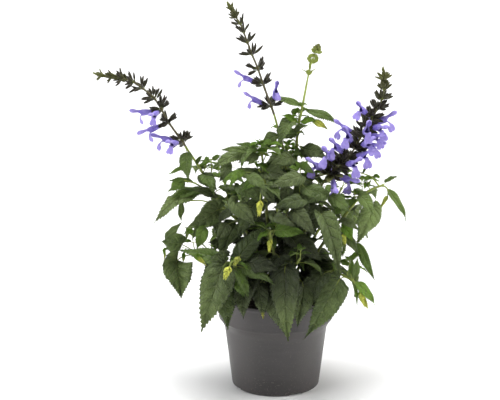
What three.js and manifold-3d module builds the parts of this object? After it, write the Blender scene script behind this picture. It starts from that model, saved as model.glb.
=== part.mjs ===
// Perennial salvia growing in a round nursery pot. Millimetres, +Z up.
// The origin is the centre of the pot's foot, and the front of the plant faces -Y.
// Angles are in degrees: a turn is counted from +X towards +Y, a rise from the horizontal.
import * as THREE from 'three';
import { mergeVertices } from 'three/addons/utils/BufferGeometryUtils.js';
import Module from 'manifold-3d';

const wasm = await Module();
wasm.setup();

// Pot
const potHeight = 154;
const rimRadius = 95;
const collarFootRadius = 91;
const collarFootHeight = 115;
const shoulderRadius = 82;
const shoulderHeight = 99;
const footRadius = 70;
const footRounding = 4;
const footRingWidth = 7;
const footDiscRadius = 20;
const footSlope = 2;
const floorLift = 3;
const floorRounding = 4;
const floorThickness = 2.5;
const wallThickness = 2.4;
const collarUndercut = 3;
const rimRounding = 1;
const potSides = 32;
const notchTurns = [-63, 27, 117, 207];
const notchWidth = 22;
const notchHeight = 3.2;
const drainHoleCount = 5;
const drainHoleRadius = 5;
const drainHoleCircle = 41;
const drainHoleDepth = 30;
const drainHoleSides = 10;

// Soil and the gap kept between pieces that touch
const soilHeight = 142;
const seatGap = 0.3;
const corollaGap = 0.4;
const sliverSize = 0.02;
const soilClearance = 0.4;
const crownHeight = 1.6;
const crownRadius = 40;
const soilShoulder = 4;

// Stems, leaves and flowers
const stemFootRadius = 2.6;
const stemTipRadius = 1.2;
const stemSides = 5;
const leafThickness = 1.1;
const petioleRadius = 0.9;
const stemSeatShare = 0.95;
const leafFold = 0.16;
const leafTipWidth = 0.8;
const midribSteps = 24;
const calyxLength = 15;
const calyxMouthRadius = 2.7;
const calyxSides = 4;
const calyxOpeningAtTip = 26;
const calyxOpeningAtFoot = 52;
const corollaLength = 36;
const corollaSides = 6;
const corollaSteps = 5;
const lowerLipStart = 20;
const lowerLipLength = 16;
const lowerLipWidth = 10;
const lowerLipBulge = 4;
const rachisFootRadius = 1.4;
const rachisTipRadius = 0.7;

// Bars lie flat against this direction, which none of them follows.
const barFlat = new THREE.Vector3(0, -1, 0.05);

const stemFoot = soilHeight + crownHeight + seatGap;

// Routes of the stems, from the soil to the tip.
const stemRoutes = {
  stem_left: [
    [-14, -8, stemFoot], [-24, -10, 205], [-50, -12, 262], [-74, -12, 287],
    [-95, -11, 311], [-115, -10, 351], [-142, -10, 394]],
  stem_middle: [
    [4, 4, stemFoot], [9, 4, 200], [17, 2, 265], [18, 0, 325],
    [12, 0, 380], [1, 0, 425], [-5, 0, 447]],
  stem_young: [
    [14, 14, stemFoot], [22, 18, 210], [28, 18, 285], [31, 14, 350], [32, 11, 395],
    [35, 10, 427], [38, 9, 441], [41, 8, 457], [47, 10, 490]],
  stem_upper_left: [
    [-6, -7, stemFoot], [-10, -10, 210], [-15, -18, 290], [-19, -26, 350], [-24, -32, 395]],
  stem_right: [
    [15, -5, stemFoot], [34, -12, 215], [52, -16, 285], [68, -19, 328], [77, -20, 345]],
  stem_side: [
    [24, -12, stemFoot], [54, -22, 208], [86, -28, 260], [107, -30, 288],
    [126, -30, 313], [146, -30, 329], [166, -30, 337]],
  stem_front_left: [
    [-10, -22, stemFoot], [-24, -46, 180], [-44, -72, 207], [-66, -96, 226]],
  stem_centre: [
    [1, -20, stemFoot], [0, -38, 195], [-5, -62, 243], [-11, -88, 279]],
  stem_front_right: [
    [11, -24, stemFoot], [17, -48, 182], [25, -74, 212], [36, -90, 236]],
  stem_right_low: [
    [22, -22, stemFoot], [54, -44, 188], [86, -68, 208], [118, -82, 198]],
  stem_left_low: [
    [-24, -2, stemFoot], [-56, -10, 184], [-92, -16, 210], [-128, -22, 226]],
  stem_back_left: [
    [-14, 14, stemFoot], [-40, 46, 208], [-66, 78, 262], [-84, 98, 310]],
  stem_back_centre: [
    [-1, 24, stemFoot], [0, 60, 220], [4, 92, 285], [8, 108, 335]],
  stem_back_right: [
    [20, 24, stemFoot], [52, 48, 210], [84, 74, 258], [108, 92, 300]],
};

// Leaves: stem, place along its route, turn, rise at the stem, bend down to the tip,
// length with its stalk, width of the blade, length of the stalk, and roll of its face to the front.
const leaves = {
  leaf_left_spike: ['stem_left', 6, 262, -15, 60, 52, 22, 8, 0],
  leaf_left_large: ['stem_left', 4.2, 203, 12, 50, 116, 36, 14, 15],
  leaf_left_inner: ['stem_left', 3, 222, 18, 55, 90, 40, 24, 0],
  leaf_middle_upper: ['stem_middle', 4.4, 218, 30, 18, 52, 22, 12, 0],
  leaf_upper_left_long: ['stem_upper_left', 3.9, 201, 15, 45, 86, 25, 18, 0],
  leaf_young_arching: ['stem_young', 7, -16, 15, 66, 68, 16, 6, 0],
  leaf_young_round: ['stem_young', 5, 236, 32, 92, 70, 30, 20, 0],
  leaf_young_oval: ['stem_young', 4, -52, 22, 42, 84, 24, 22, 0],
  leaf_right_folded: ['stem_right', 2, -57, 22, 104, 130, 32, 28, 0],
  leaf_side_upper: ['stem_side', 3.6, -58, 78, 130, 68, 22, 22, 0],
  leaf_side_large: ['stem_side', 4, -70, 30, 114, 94, 36, 20, 0],
  leaf_side_tip: ['stem_side', 6, -19, -12, 66, 62, 14, 4, 0],
  leaf_front_left_side: ['stem_front_left', 3, 169, 28, 20, 90, 27, 12, 25],
  leaf_front_left_raised: ['stem_front_left', 3, 23, 60, 22, 86, 30, 12, 0],
  leaf_front_left_hanging: ['stem_front_left', 2.8, 214, 5, 96, 128, 54, 14, 0],
  leaf_front_left_forward: ['stem_front_left', 2.9, -28, 5, 30, 70, 24, 10, 0],
  leaf_front_centre: ['stem_front_right', 2, -98, 12, 106, 126, 46, 20, 0],
  leaf_centre_young: ['stem_centre', 3, -18, 15, 24, 54, 25, 6, 0],
  leaf_front_right_hanging: ['stem_right_low', 3, 214, 15, 85, 130, 44, 14, 0],
  leaf_low_left_round: ['stem_left_low', 3, 206, 30, 14, 64, 32, 12, 50],
  leaf_low_left_heart: ['stem_left_low', 2.9, -128, 15, 95, 96, 48, 16, 0],
  leaf_back_left: ['stem_back_left', 2, 150, 20, 80, 118, 50, 24, 0],
  leaf_back_centre: ['stem_back_centre', 2, 80, 20, 80, 116, 48, 24, 0],
  leaf_back_right: ['stem_back_right', 2, 40, 20, 80, 118, 50, 24, 0],
};

// Share of a blade's full width at each share of its length, from stalk to tip.
const bladeOutline = [
  [0, 0.2], [0.1, 0.78], [0.28, 1], [0.5, 0.84], [0.72, 0.5], [0.9, 0.17], [1, 0.02]];

// Flower spikes: the whorls of calyces from the lowest up, and the tip.
const spikes = {
  spike_left: {
    stem: 'stem_left',
    whorls: [
      [-146, -10, 401], [-168, -10, 433], [-178, -10, 452], [-190, -10, 471], [-208, -10, 487],
      [-221, -10, 496], [-237, -10, 502], [-253, -10, 505], [-270, -10, 507]],
    tip: [-282, -10, 510],
    calyces: 4,
  },
  spike_middle: {
    stem: 'stem_middle',
    whorls: [
      [-8, 0, 455], [-21, 0, 491], [-29, 0, 515], [-38, 0, 537], [-45, 0, 556],
      [-51, 0, 572], [-56, 0, 585], [-63, 0, 596], [-69, 0, 607]],
    tip: [-76, 0, 618],
    calyces: 4,
  },
  spike_right: {
    stem: 'stem_right',
    whorls: [
      [85, -20, 355], [98, -20, 367], [112, -20, 379], [122, -20, 395], [131, -20, 412],
      [139, -20, 428], [147, -20, 442], [156, -20, 456], [162, -20, 471], [165, -20, 486],
      [165, -20, 502]],
    tip: [163, -20, 521],
    calyces: 5,
  },
};

// The unopened spike on the young stem: its bracts, its ring of buds and its tip.
const youngSpike = {
  stem: 'stem_young',
  bracts: [50, 10, 506],
  ring: [56, 10, 529],
  tip: [63, 10, 544],
  bractTurns: [20, 110, 200, 290],
  bractRise: 22,
  bractLength: 13,
  bractRadius: 0.7,
  axisRadius: 0.9,
  budRadius: 3.4,
  budTurns: [0, 72, 144, 216, 288],
  budLift: 2,
  crownRadius: 5.8,
  crownBud: [66, 10, 549],
};

// Open flowers: spike, whorl counted from 0, turn and rise of the corolla.
const flowers = {
  flower_left_1: ['spike_left', 0, 240, -12],
  flower_left_2: ['spike_left', 0, 172, 12],
  flower_left_3: ['spike_left', 1, 196, -12],
  flower_left_4: ['spike_left', 2, 184, -4],
  flower_middle_1: ['spike_middle', 0, 196, 32],
  flower_middle_2: ['spike_middle', 0, -80, 55],
  flower_middle_3: ['spike_middle', 1, 190, 22],
  flower_right_1: ['spike_right', 0, -66, -46],
  flower_right_2: ['spike_right', 0, 176, 28],
  flower_right_3: ['spike_right', 1, -14, -24],
  flower_right_4: ['spike_right', 1, 190, 14],
  flower_right_5: ['spike_right', 2, -40, -24],
  flower_right_6: ['spike_right', 2, 178, 14],
  flower_right_7: ['spike_right', 3, 186, 24],
  flower_right_8: ['spike_right', 4, -72, -2],
  flower_right_9: ['spike_right', 5, -6, 12],
};

// Rows along a corolla: share of its length, half height and half width.
const corollaGirth = [
  [0, 1.5, 1.3], [0.3, 2.6, 2.2], [0.52, 3.4, 2.8], [0.68, 1.9, 2], [0.86, 1.8, 2.3], [1, 0.5, 0.8]];

// Centre line of a corolla: distance forward and drop.
const corollaLine = [[0, 0], [12, 0.6], [24, 0], [33, -2.5], [corollaLength, -3]];

// Share of the lower lip's full width at each share of its length.
const lowerLipOutline = [[0, 0.3], [1 / 3, 0.7], [2 / 3, 1], [1, 0.45]];

const materials = {
  pot: new THREE.MeshStandardMaterial({ color: 0x4b484a, roughness: 0.62, metalness: 0 }),
  soil: new THREE.MeshStandardMaterial({ color: 0x241a13, roughness: 0.95, metalness: 0 }),
  stem: new THREE.MeshStandardMaterial({ color: 0x5f7634, roughness: 0.6, metalness: 0 }),
  leaf: new THREE.MeshStandardMaterial({ color: 0x3a5a2a, roughness: 0.55, metalness: 0 }),
  calyx: new THREE.MeshStandardMaterial({ color: 0x2c2a20, roughness: 0.7, metalness: 0 }),
  bud: new THREE.MeshStandardMaterial({ color: 0x8a9c4c, roughness: 0.65, metalness: 0 }),
  petal: new THREE.MeshStandardMaterial({ color: 0x8271d6, roughness: 0.55, metalness: 0 }),
};

function direction(turn, rise) {
  const turnAngle = THREE.MathUtils.degToRad(turn);
  const riseAngle = THREE.MathUtils.degToRad(rise);
  const flat = Math.cos(riseAngle);
  return new THREE.Vector3(flat * Math.cos(turnAngle), flat * Math.sin(turnAngle), Math.sin(riseAngle));
}

function curveThrough(points) {
  const vectors = points.map((point) => new THREE.Vector3(...point));
  return new THREE.CatmullRomCurve3(vectors, false, 'catmullrom', 0.5);
}

// A point and the direction of growth at a place counted in the points of a stem's route.
function placeOnStem(stem, place) {
  const route = stemRoutes[stem];
  const curve = curveThrough(route);
  const share = place / (route.length - 1);
  return { point: curve.getPoint(share), growth: curve.getTangent(share) };
}

// Moves each vertex of a geometry by a function of its position.
function reshape(geometry, move) {
  const shaped = geometry.clone();
  const position = shaped.getAttribute('position');
  const vertex = new THREE.Vector3();
  for (let i = 0; i < position.count; i += 1) {
    vertex.fromBufferAttribute(position, i);
    const moved = move(vertex);
    position.setXYZ(i, moved.x, moved.y, moved.z);
  }
  return shaped;
}

// A round bar bent along a curve, its half height and half width taken from radiusAt.
// A bar that stands on the soil has its first end cut level.
function bentBar(curve, radiusAt, sides, steps, flatwise, standing) {
  const bar = new THREE.CylinderGeometry(1, 1, 1, sides, steps);
  return reshape(bar, (vertex) => {
    const share = vertex.y + 0.5;
    const along = standing && share === 0 ? new THREE.Vector3(0, 0, 1) : curve.getTangent(share);
    const side = new THREE.Vector3().crossVectors(flatwise, along).normalize();
    const up = new THREE.Vector3().crossVectors(along, side).normalize();
    const [halfHeight, halfWidth] = radiusAt(share);
    const moved = curve.getPoint(share);
    moved.addScaledVector(side, vertex.x * halfWidth);
    moved.addScaledVector(up, -vertex.z * halfHeight);
    return moved;
  });
}

// Straight lines between [share, value...] rows.
function readRows(rows, share) {
  let next = rows.findIndex((row) => row[0] >= share);
  next = Math.max(next, 1);
  const low = rows[next - 1];
  const high = rows[next];
  const mix = (share - low[0]) / (high[0] - low[0]);
  return low.slice(1).map((value, i) => value + (high[i + 1] - value) * mix);
}

function toSolid(geometry) {
  const bare = geometry.clone();
  bare.deleteAttribute('normal');
  bare.deleteAttribute('uv');
  const merged = mergeVertices(bare, 1e-4);
  const vertProperties = Float32Array.from(merged.getAttribute('position').array);
  const triVerts = Uint32Array.from(merged.index.array);
  return new wasm.Manifold(new wasm.Mesh({ numProp: 3, vertProperties, triVerts }));
}

function toGeometry(solid) {
  const mesh = solid.getMesh();
  const geometry = new THREE.BufferGeometry();
  geometry.setAttribute('position', new THREE.BufferAttribute(Float32Array.from(mesh.vertProperties), 3));
  geometry.setIndex(new THREE.BufferAttribute(Uint32Array.from(mesh.triVerts), 1));
  geometry.computeVertexNormals();
  return geometry;
}

// Joins closed shapes into one body and clears away the slivers that the joining leaves.
function joined(geometries) {
  const solids = geometries.map(toSolid);
  const whole = solids.slice(1).reduce((body, solid) => body.add(solid), solids[0]);
  return toGeometry(whole.simplify(sliverSize));
}

function turnedOutline(outline) {
  const points = outline.map(([radius, height]) => new THREE.Vector2(radius, height));
  return new THREE.LatheGeometry(points, potSides).rotateX(Math.PI / 2);
}

// Outside and inside of the pot as one closed outline, turned round its axis.
function potGeometry() {
  const floorTop = floorLift + floorThickness;
  const ringInside = footRadius - footRingWidth;
  const collarInside = collarFootRadius - wallThickness - rimRounding;
  return turnedOutline([
    [0, 0], [footDiscRadius, 0], [footDiscRadius + footSlope, floorLift],
    [ringInside - footSlope, floorLift], [ringInside, 0], [footRadius - footRounding, 0],
    [footRadius - footRounding * 0.3, footRounding * 0.3], [footRadius, footRounding],
    [shoulderRadius, shoulderHeight],
    [collarFootRadius - collarUndercut / 2, collarFootHeight - collarUndercut],
    [collarFootRadius, collarFootHeight], [rimRadius - rimRounding / 2, potHeight - 4 * rimRounding],
    [rimRadius, potHeight - 2 * rimRounding], [rimRadius - rimRounding, potHeight],
    [rimRadius - wallThickness, potHeight], [collarInside, collarFootHeight + rimRounding],
    [shoulderRadius - wallThickness, shoulderHeight + rimRounding],
    [footRadius - wallThickness, floorTop + floorRounding],
    [footRadius - wallThickness - floorRounding, floorTop], [0, floorTop]]);
}

// The pot with the notches in its foot ring and the holes that drain its floor.
function potSolid() {
  let pot = toSolid(potGeometry());
  for (const turn of notchTurns) {
    const notch = new THREE.BoxGeometry(2 * footRingWidth, notchWidth, 2 * notchHeight);
    notch.translate(footRadius, 0, 0).rotateZ(THREE.MathUtils.degToRad(turn));
    pot = pot.subtract(toSolid(notch));
  }
  for (let i = 0; i < drainHoleCount; i += 1) {
    const hole = new THREE.CylinderGeometry(drainHoleRadius, drainHoleRadius, drainHoleDepth, drainHoleSides);
    hole.rotateX(Math.PI / 2).translate(drainHoleCircle, 0, 0);
    hole.rotateZ((2 * Math.PI * i) / drainHoleCount);
    pot = pot.subtract(toSolid(hole));
  }
  return toGeometry(pot);
}

// The soil fills the pot up to a low crown and keeps clear of its wall.
function soilGeometry() {
  const floorTop = floorLift + floorThickness + soilClearance;
  const inset = wallThickness + soilClearance;
  const surfaceShare = (soilHeight - soilShoulder - collarFootHeight) / (potHeight - collarFootHeight);
  const upperRadius = collarFootRadius + (rimRadius - collarFootRadius) * surfaceShare - inset - rimRounding;
  return turnedOutline([
    [0, floorTop], [footRadius - inset - floorRounding, floorTop],
    [footRadius - inset, floorTop + floorRounding],
    [shoulderRadius - inset, shoulderHeight + rimRounding],
    [collarFootRadius - inset - rimRounding, collarFootHeight + rimRounding],
    [upperRadius, soilHeight - soilShoulder], [upperRadius - soilShoulder, soilHeight],
    [crownRadius, soilHeight + crownHeight], [0, soilHeight + crownHeight]]);
}

function stemRadiusAt(share) {
  return THREE.MathUtils.lerp(stemFootRadius, stemTipRadius, share);
}

function stemGeometry(route) {
  const steps = 2 * (route.length - 1);
  const taper = (share) => [stemRadiusAt(share), stemRadiusAt(share)];
  return bentBar(curveThrough(route), taper, stemSides, steps, barFlat, true);
}

// Where a leaf's stalk starts, just clear of the side of its stem or of the stem's tip.
function stalkStart(stem, place, aim) {
  const { point, growth } = placeOnStem(stem, place);
  const lastPlace = stemRoutes[stem].length - 1;
  const lean = aim.dot(growth);
  const across = Math.sqrt(1 - lean * lean);
  const surface = stemSeatShare * stemRadiusAt(place / lastPlace) + seatGap;
  const besideStem = (surface + petioleRadius * Math.abs(lean)) / across;
  const beyondTip = (seatGap + petioleRadius * across) / lean;
  const atTip = place === lastPlace && lean > 0;
  return point.addScaledVector(aim, atTip ? Math.min(besideStem, beyondTip) : besideStem);
}

// The midrib of a leaf leaves the stem at its rise and bends most where the blade begins.
function midrib(stem, place, turn, rise, bend, length) {
  const outward = direction(turn, 0);
  const end = stalkStart(stem, place, direction(turn, rise));
  const points = [end.clone()];
  for (let i = 0; i < midribSteps; i += 1) {
    const share = (i + 0.5) / midribSteps;
    const angle = THREE.MathUtils.degToRad(rise - bend * (1 - (1 - share) ** 2));
    end.addScaledVector(outward, (Math.cos(angle) * length) / midribSteps);
    end.z += (Math.sin(angle) * length) / midribSteps;
    points.push(end.clone());
  }
  return new THREE.CatmullRomCurve3(points);
}

// A leaf is a folded strip: its stalk is narrow and thick, its blade wide and thin.
function leafGeometry([stem, place, turn, rise, bend, length, width, stalk, roll]) {
  const rib = midrib(stem, place, turn, rise, bend, length);
  const level = direction(turn + 90, 0);
  const rollAngle = THREE.MathUtils.degToRad(roll) * Math.sign(direction(turn, 0).x);
  const stalkShare = stalk / length;
  const stations = [0, ...bladeOutline.map((row) => stalkShare + (1 - stalkShare) * row[0])];
  const spans = stations.length - 1;
  const strip = new THREE.BoxGeometry(spans, 2, 1, spans, 2, 1);
  return reshape(strip, (vertex) => {
    const station = Math.round(vertex.x + spans / 2);
    const share = stations[station];
    const onStalk = station < 2;
    const widthShare = onStalk ? 0 : bladeOutline[station - 1][1];
    const halfWidth = Math.max(widthShare * width, onStalk ? 2 * petioleRadius : leafTipWidth) / 2;
    const thickness = onStalk ? 2 * petioleRadius : leafThickness;
    const along = rib.getTangent(share);
    const side = level.clone().applyAxisAngle(along, rollAngle);
    const up = new THREE.Vector3().crossVectors(along, side).normalize();
    const fold = onStalk ? 0 : leafFold * Math.abs(vertex.y) * halfWidth;
    const moved = rib.getPoint(share).addScaledVector(side, vertex.y * halfWidth);
    return moved.addScaledVector(up, vertex.z * thickness + fold);
  });
}

// A pointed cup that opens along its aim.
function calyxGeometry(foot, aim, length, mouthRadius) {
  const upright = new THREE.Vector3(0, 1, 0);
  const cup = new THREE.ConeGeometry(mouthRadius, length, calyxSides, 1);
  cup.rotateX(Math.PI).translate(0, length / 2, 0);
  cup.applyQuaternion(new THREE.Quaternion().setFromUnitVectors(upright, aim));
  return cup.translate(foot.x, foot.y, foot.z);
}

// The axis of a spike, from just clear of its stem's tip through the given points.
function spikeLine(stem, points) {
  const { point, growth } = placeOnStem(stem, stemRoutes[stem].length - 1);
  return curveThrough([point.addScaledVector(growth, seatGap).toArray(), ...points]);
}

// Calyces stand round the axis in a whorl, smaller and more closed the nearer it is to the tip.
function whorlGeometries(spike, level, along) {
  const age = 1 - level / spike.whorls.length;
  const opening = THREE.MathUtils.degToRad(THREE.MathUtils.lerp(calyxOpeningAtTip, calyxOpeningAtFoot, age));
  const side = new THREE.Vector3(0, 1, 0).cross(along).normalize();
  const parts = [];
  for (let i = 0; i < spike.calyces; i += 1) {
    const around = (2 * Math.PI * (i + 0.5 * (level % 2))) / spike.calyces;
    const outward = side.clone().applyAxisAngle(along, around);
    const foot = new THREE.Vector3(...spike.whorls[level]).addScaledVector(outward, rachisTipRadius / 2);
    const aim = along.clone().multiplyScalar(Math.cos(opening)).addScaledVector(outward, Math.sin(opening));
    const length = calyxLength * (0.4 + 0.55 * age);
    const mouth = calyxMouthRadius * (0.45 + 0.45 * age);
    parts.push(calyxGeometry(foot, aim.normalize(), length, mouth));
  }
  return parts;
}

// A spike in flower: its axis, its whorls, and the calyces that hold open flowers.
function spikeGeometry(name, spike) {
  const curve = spikeLine(spike.stem, [...spike.whorls, spike.tip]);
  const spans = spike.whorls.length + 1;
  const taper = (share) => {
    const radius = THREE.MathUtils.lerp(rachisFootRadius, rachisTipRadius, share);
    return [radius, radius];
  };
  const parts = [bentBar(curve, taper, stemSides, spans, barFlat, false)];
  for (let level = 0; level < spike.whorls.length; level += 1) {
    parts.push(...whorlGeometries(spike, level, curve.getTangent((level + 1) / spans)));
  }
  const held = Object.values(flowers).filter(([flowerSpike]) => flowerSpike === name);
  for (const [, level, turn, rise] of held) {
    const foot = new THREE.Vector3(...spike.whorls[level]);
    parts.push(calyxGeometry(foot, direction(turn, rise), calyxLength, calyxMouthRadius));
  }
  return joined(parts);
}

function budGeometry(centre, radius) {
  return new THREE.SphereGeometry(radius, 6, 4).translate(...centre);
}

// A spike in bud: its axis, four open bracts, a ring of buds and a rounded crown.
function youngSpikeGeometry(spike) {
  const curve = spikeLine(spike.stem, [spike.bracts, spike.ring, spike.tip]);
  const girth = [spike.axisRadius, spike.axisRadius];
  const parts = [bentBar(curve, () => girth, stemSides, 6, barFlat, false)];
  for (const turn of spike.bractTurns) {
    const aim = direction(turn, spike.bractRise);
    parts.push(calyxGeometry(new THREE.Vector3(...spike.bracts), aim, spike.bractLength, spike.bractRadius));
  }
  for (const turn of spike.budTurns) {
    const centre = direction(turn, 0).multiplyScalar(spike.budRadius).add(new THREE.Vector3(...spike.ring));
    centre.z += spike.budLift;
    parts.push(budGeometry(centre.toArray(), spike.budRadius));
  }
  parts.push(budGeometry(spike.tip, spike.crownRadius));
  parts.push(budGeometry(spike.crownBud, spike.budRadius));
  return joined(parts);
}

// The lower lip of a corolla, spread to both sides of it and hanging down.
function lowerLipGeometry(at, side) {
  const spans = lowerLipOutline.length - 1;
  const strip = new THREE.BoxGeometry(spans, 2, 1, spans, 2, 1);
  return reshape(strip, (vertex) => {
    const station = Math.round(vertex.x + spans / 2);
    const [share, widthShare] = lowerLipOutline[station];
    const forward = lowerLipStart + lowerLipBulge * Math.sin(share * 2.2) + vertex.z;
    const drop = lowerLipLength * share + vertex.z * 0.2;
    return at(forward, drop).addScaledVector(side, (vertex.y * widthShare * lowerLipWidth) / 2);
  });
}

// A corolla: a tube that widens, a narrow hood that goes on from it, and a hanging lower lip.
function corollaGeometry([spikeName, level, turn, rise]) {
  const aim = direction(turn, rise);
  const hang = direction(turn, -60);
  const down = hang.addScaledVector(aim, -hang.dot(aim)).normalize();
  const side = new THREE.Vector3().crossVectors(aim, down).normalize();
  const foot = new THREE.Vector3(...spikes[spikeName].whorls[level]);
  foot.addScaledVector(aim, calyxLength + corollaGap);
  const at = (forward, drop) => foot.clone().addScaledVector(aim, forward).addScaledVector(down, drop);
  const line = new THREE.CatmullRomCurve3(corollaLine.map(([forward, drop]) => at(forward, drop)));
  const girth = (share) => readRows(corollaGirth, share);
  const tube = bentBar(line, girth, corollaSides, corollaSteps, down, false);
  return joined([tube, lowerLipGeometry(at, side)]);
}

const salvia = new THREE.Group();

function addPiece(name, geometry, material) {
  const mesh = new THREE.Mesh(geometry, material);
  mesh.name = name;
  salvia.add(mesh);
}

addPiece('nursery_pot', potSolid(), materials.pot);
addPiece('potting_soil', soilGeometry(), materials.soil);
for (const [name, route] of Object.entries(stemRoutes)) {
  addPiece(name, stemGeometry(route), materials.stem);
}
for (const [name, leaf] of Object.entries(leaves)) {
  addPiece(name, leafGeometry(leaf), materials.leaf);
}
for (const [name, spike] of Object.entries(spikes)) {
  addPiece(name, spikeGeometry(name, spike), materials.calyx);
}
addPiece('spike_young', youngSpikeGeometry(youngSpike), materials.bud);
for (const [name, flower] of Object.entries(flowers)) {
  addPiece(name, corollaGeometry(flower), materials.petal);
}

export default salvia;
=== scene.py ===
import math
import bpy
import bmesh
import numpy as np
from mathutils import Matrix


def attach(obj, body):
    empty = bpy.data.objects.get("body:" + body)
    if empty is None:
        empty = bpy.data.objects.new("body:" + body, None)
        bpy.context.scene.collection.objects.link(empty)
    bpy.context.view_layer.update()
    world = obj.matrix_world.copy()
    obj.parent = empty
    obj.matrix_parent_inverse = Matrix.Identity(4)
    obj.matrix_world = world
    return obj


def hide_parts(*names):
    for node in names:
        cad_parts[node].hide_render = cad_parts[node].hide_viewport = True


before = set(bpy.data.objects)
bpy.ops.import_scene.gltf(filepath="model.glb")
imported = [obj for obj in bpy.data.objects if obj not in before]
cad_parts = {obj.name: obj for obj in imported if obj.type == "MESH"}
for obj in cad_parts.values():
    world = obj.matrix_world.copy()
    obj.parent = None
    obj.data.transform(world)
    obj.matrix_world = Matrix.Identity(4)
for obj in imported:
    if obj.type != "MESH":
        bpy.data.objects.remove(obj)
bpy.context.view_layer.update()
print("frame loaded,", len(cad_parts), "nodes")

mm = 0.001  # lengths below are written in millimetres, unless a note says metres
fullTurn = 2 * math.pi
spiralTurn = 137.5  # degrees from one scale of a spiral to the next


# metres and degrees
cameraStyle = {"place": (-0.0413, -2.816, 1.075), "tiltDown": 15.3, "lens": 133.34, "sensor": 36.0, "farEnd": 100}


def makeCamera(s):
    data = bpy.data.cameras.new("camera")
    data.lens, data.sensor_width, data.clip_end = s["lens"], s["sensor"], s["farEnd"]
    camera = bpy.data.objects.new("camera", data)
    camera.location = s["place"]
    camera.rotation_euler = (math.radians(90 - s["tiltDown"]), 0, 0)
    bpy.context.scene.collection.objects.link(camera)
    bpy.context.scene.camera = camera


makeCamera(cameraStyle)
print("camera made")


def unit(vector):
    vector = np.asarray(vector, float)
    return vector / np.maximum(np.linalg.norm(vector, axis=-1, keepdims=True), 1e-9)


def direction(turn, rise):
    a, e = math.radians(turn), math.radians(rise)
    return np.array([math.cos(e) * math.cos(a), math.cos(e) * math.sin(a), math.sin(e)])


def eased(t, start, end, slopeStart, slopeEnd):
    # from start to end as t runs from 0 to 1, with the given slopes at its ends
    atEnd = 3 * t**2 - 2 * t**3
    return (1 - atEnd) * start + atEnd * end + (t**3 - 2 * t**2 + t) * slopeStart + (t**3 - t**2) * slopeEnd


def smoothCurve(points, places):
    # a smooth line through the points and its direction; each place is counted in points
    points = np.asarray(points, float)
    last = len(points) - 1
    padded = np.vstack([2 * points[0] - points[1], points, 2 * points[-1] - points[-2]])
    places = np.clip(np.atleast_1d(np.asarray(places, float)), 0, last)
    span = np.minimum(places.astype(int), last - 1)
    t = (places - span)[:, None]
    before, start, end, after = (padded[span + k] for k in range(4))
    slopeStart, slopeEnd = (end - before) / 2, (after - start) / 2
    slope = (6 * t**2 - 6 * t) * (start - end) + (3 * t**2 - 4 * t + 1) * slopeStart + (3 * t**2 - 2 * t) * slopeEnd
    return eased(t, start, end, slopeStart, slopeEnd), unit(slope)


def smoothRows(rows, x):
    # the rows' values at x, eased between rows of [x, value...]
    rows = np.asarray(rows, float)
    x = np.clip(x, rows[0, 0], rows[-1, 0])
    slopes = np.gradient(rows[:, 1:], rows[:, 0], axis=0)
    i = np.clip(np.searchsorted(rows[:, 0], x, side="right") - 1, 0, len(rows) - 2)
    gap = (rows[i + 1, 0] - rows[i, 0])[:, None]
    t = (x - rows[i, 0])[:, None] / gap
    return eased(t, rows[i, 1:], rows[i + 1, 1:], slopes[i] * gap, slopes[i + 1] * gap)


def arcThrough(start, pull, end, t):
    # a simple arc from start to end, drawn toward the point pull
    return (1 - t) ** 2 * start + 2 * t * (1 - t) * pull + t**2 * np.asarray(end, float)


def turnedAbout(vector, axis, angle):
    angle = np.asarray(angle)[..., None]
    return (vector * np.cos(angle) + np.cross(axis, vector) * np.sin(angle)
            + axis * np.sum(axis * vector, -1, keepdims=True) * (1 - np.cos(angle)))


def camelName(name):
    words = name.split("_")
    return words[0] + "".join(word.capitalize() for word in words[1:])


class Shape:
    # gathers the faces of one piece, in millimetres

    def __init__(self):
        self.points, self.uvs, self.tints, self.faces, self.slots = [], [], [], [], []
        self.count = 0

    def add(self, points, faces, slot=0, uv=None, tint=(0, 0, 0)):
        points = np.asarray(points, float).reshape(-1, 3)
        n = len(points)
        self.points.append(points)
        self.uvs.append(np.zeros((n, 2)) if uv is None else np.asarray(uv, float).reshape(-1, 2))
        self.tints.append(np.broadcast_to(np.asarray(tint, float), (n, 3)))
        self.faces.extend([[int(corner) + self.count for corner in face] for face in faces])
        self.slots.extend(np.broadcast_to(slot, len(faces)).tolist())
        self.count += n

    def toObject(self, name, materials, smooth=True):
        mesh = bpy.data.meshes.new(name)
        mesh.from_pydata((np.vstack(self.points) * mm).tolist(), [], self.faces)
        corner = np.zeros(len(mesh.loops), int)
        mesh.loops.foreach_get("vertex_index", corner)
        layer = mesh.uv_layers.new(name="pieceUV")
        layer.data.foreach_set("uv", np.vstack(self.uvs)[corner].ravel())
        tint = np.hstack([np.vstack(self.tints), np.ones((self.count, 1))])
        mesh.attributes.new("tint", "FLOAT_COLOR", "POINT").data.foreach_set("color", tint.ravel())
        for material in materials:
            mesh.materials.append(material)
        mesh.polygons.foreach_set("material_index", self.slots)
        mesh.polygons.foreach_set("use_smooth", [smooth] * len(mesh.polygons))
        mesh.update()
        return linkedObject(name, mesh)


def linkedObject(name, data):
    made = bpy.data.objects.new(name, data)
    bpy.context.scene.collection.objects.link(made)
    return made


def settle(piece, slotName, *nodes):
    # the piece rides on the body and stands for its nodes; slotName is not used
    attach(piece, "root")
    if nodes:
        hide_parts(*nodes)


def gridFaces(rows, columns, closed=False):
    # quads between the rows of a grid of points, closed round its columns or open
    i = np.arange(rows - 1)[:, None]
    j = np.arange(columns if closed else columns - 1)[None, :]
    after = (j + 1) % columns
    quads = np.stack([i * columns + j, i * columns + after, (i + 1) * columns + after, (i + 1) * columns + j], -1)
    return quads.reshape(-1, 4)


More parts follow.
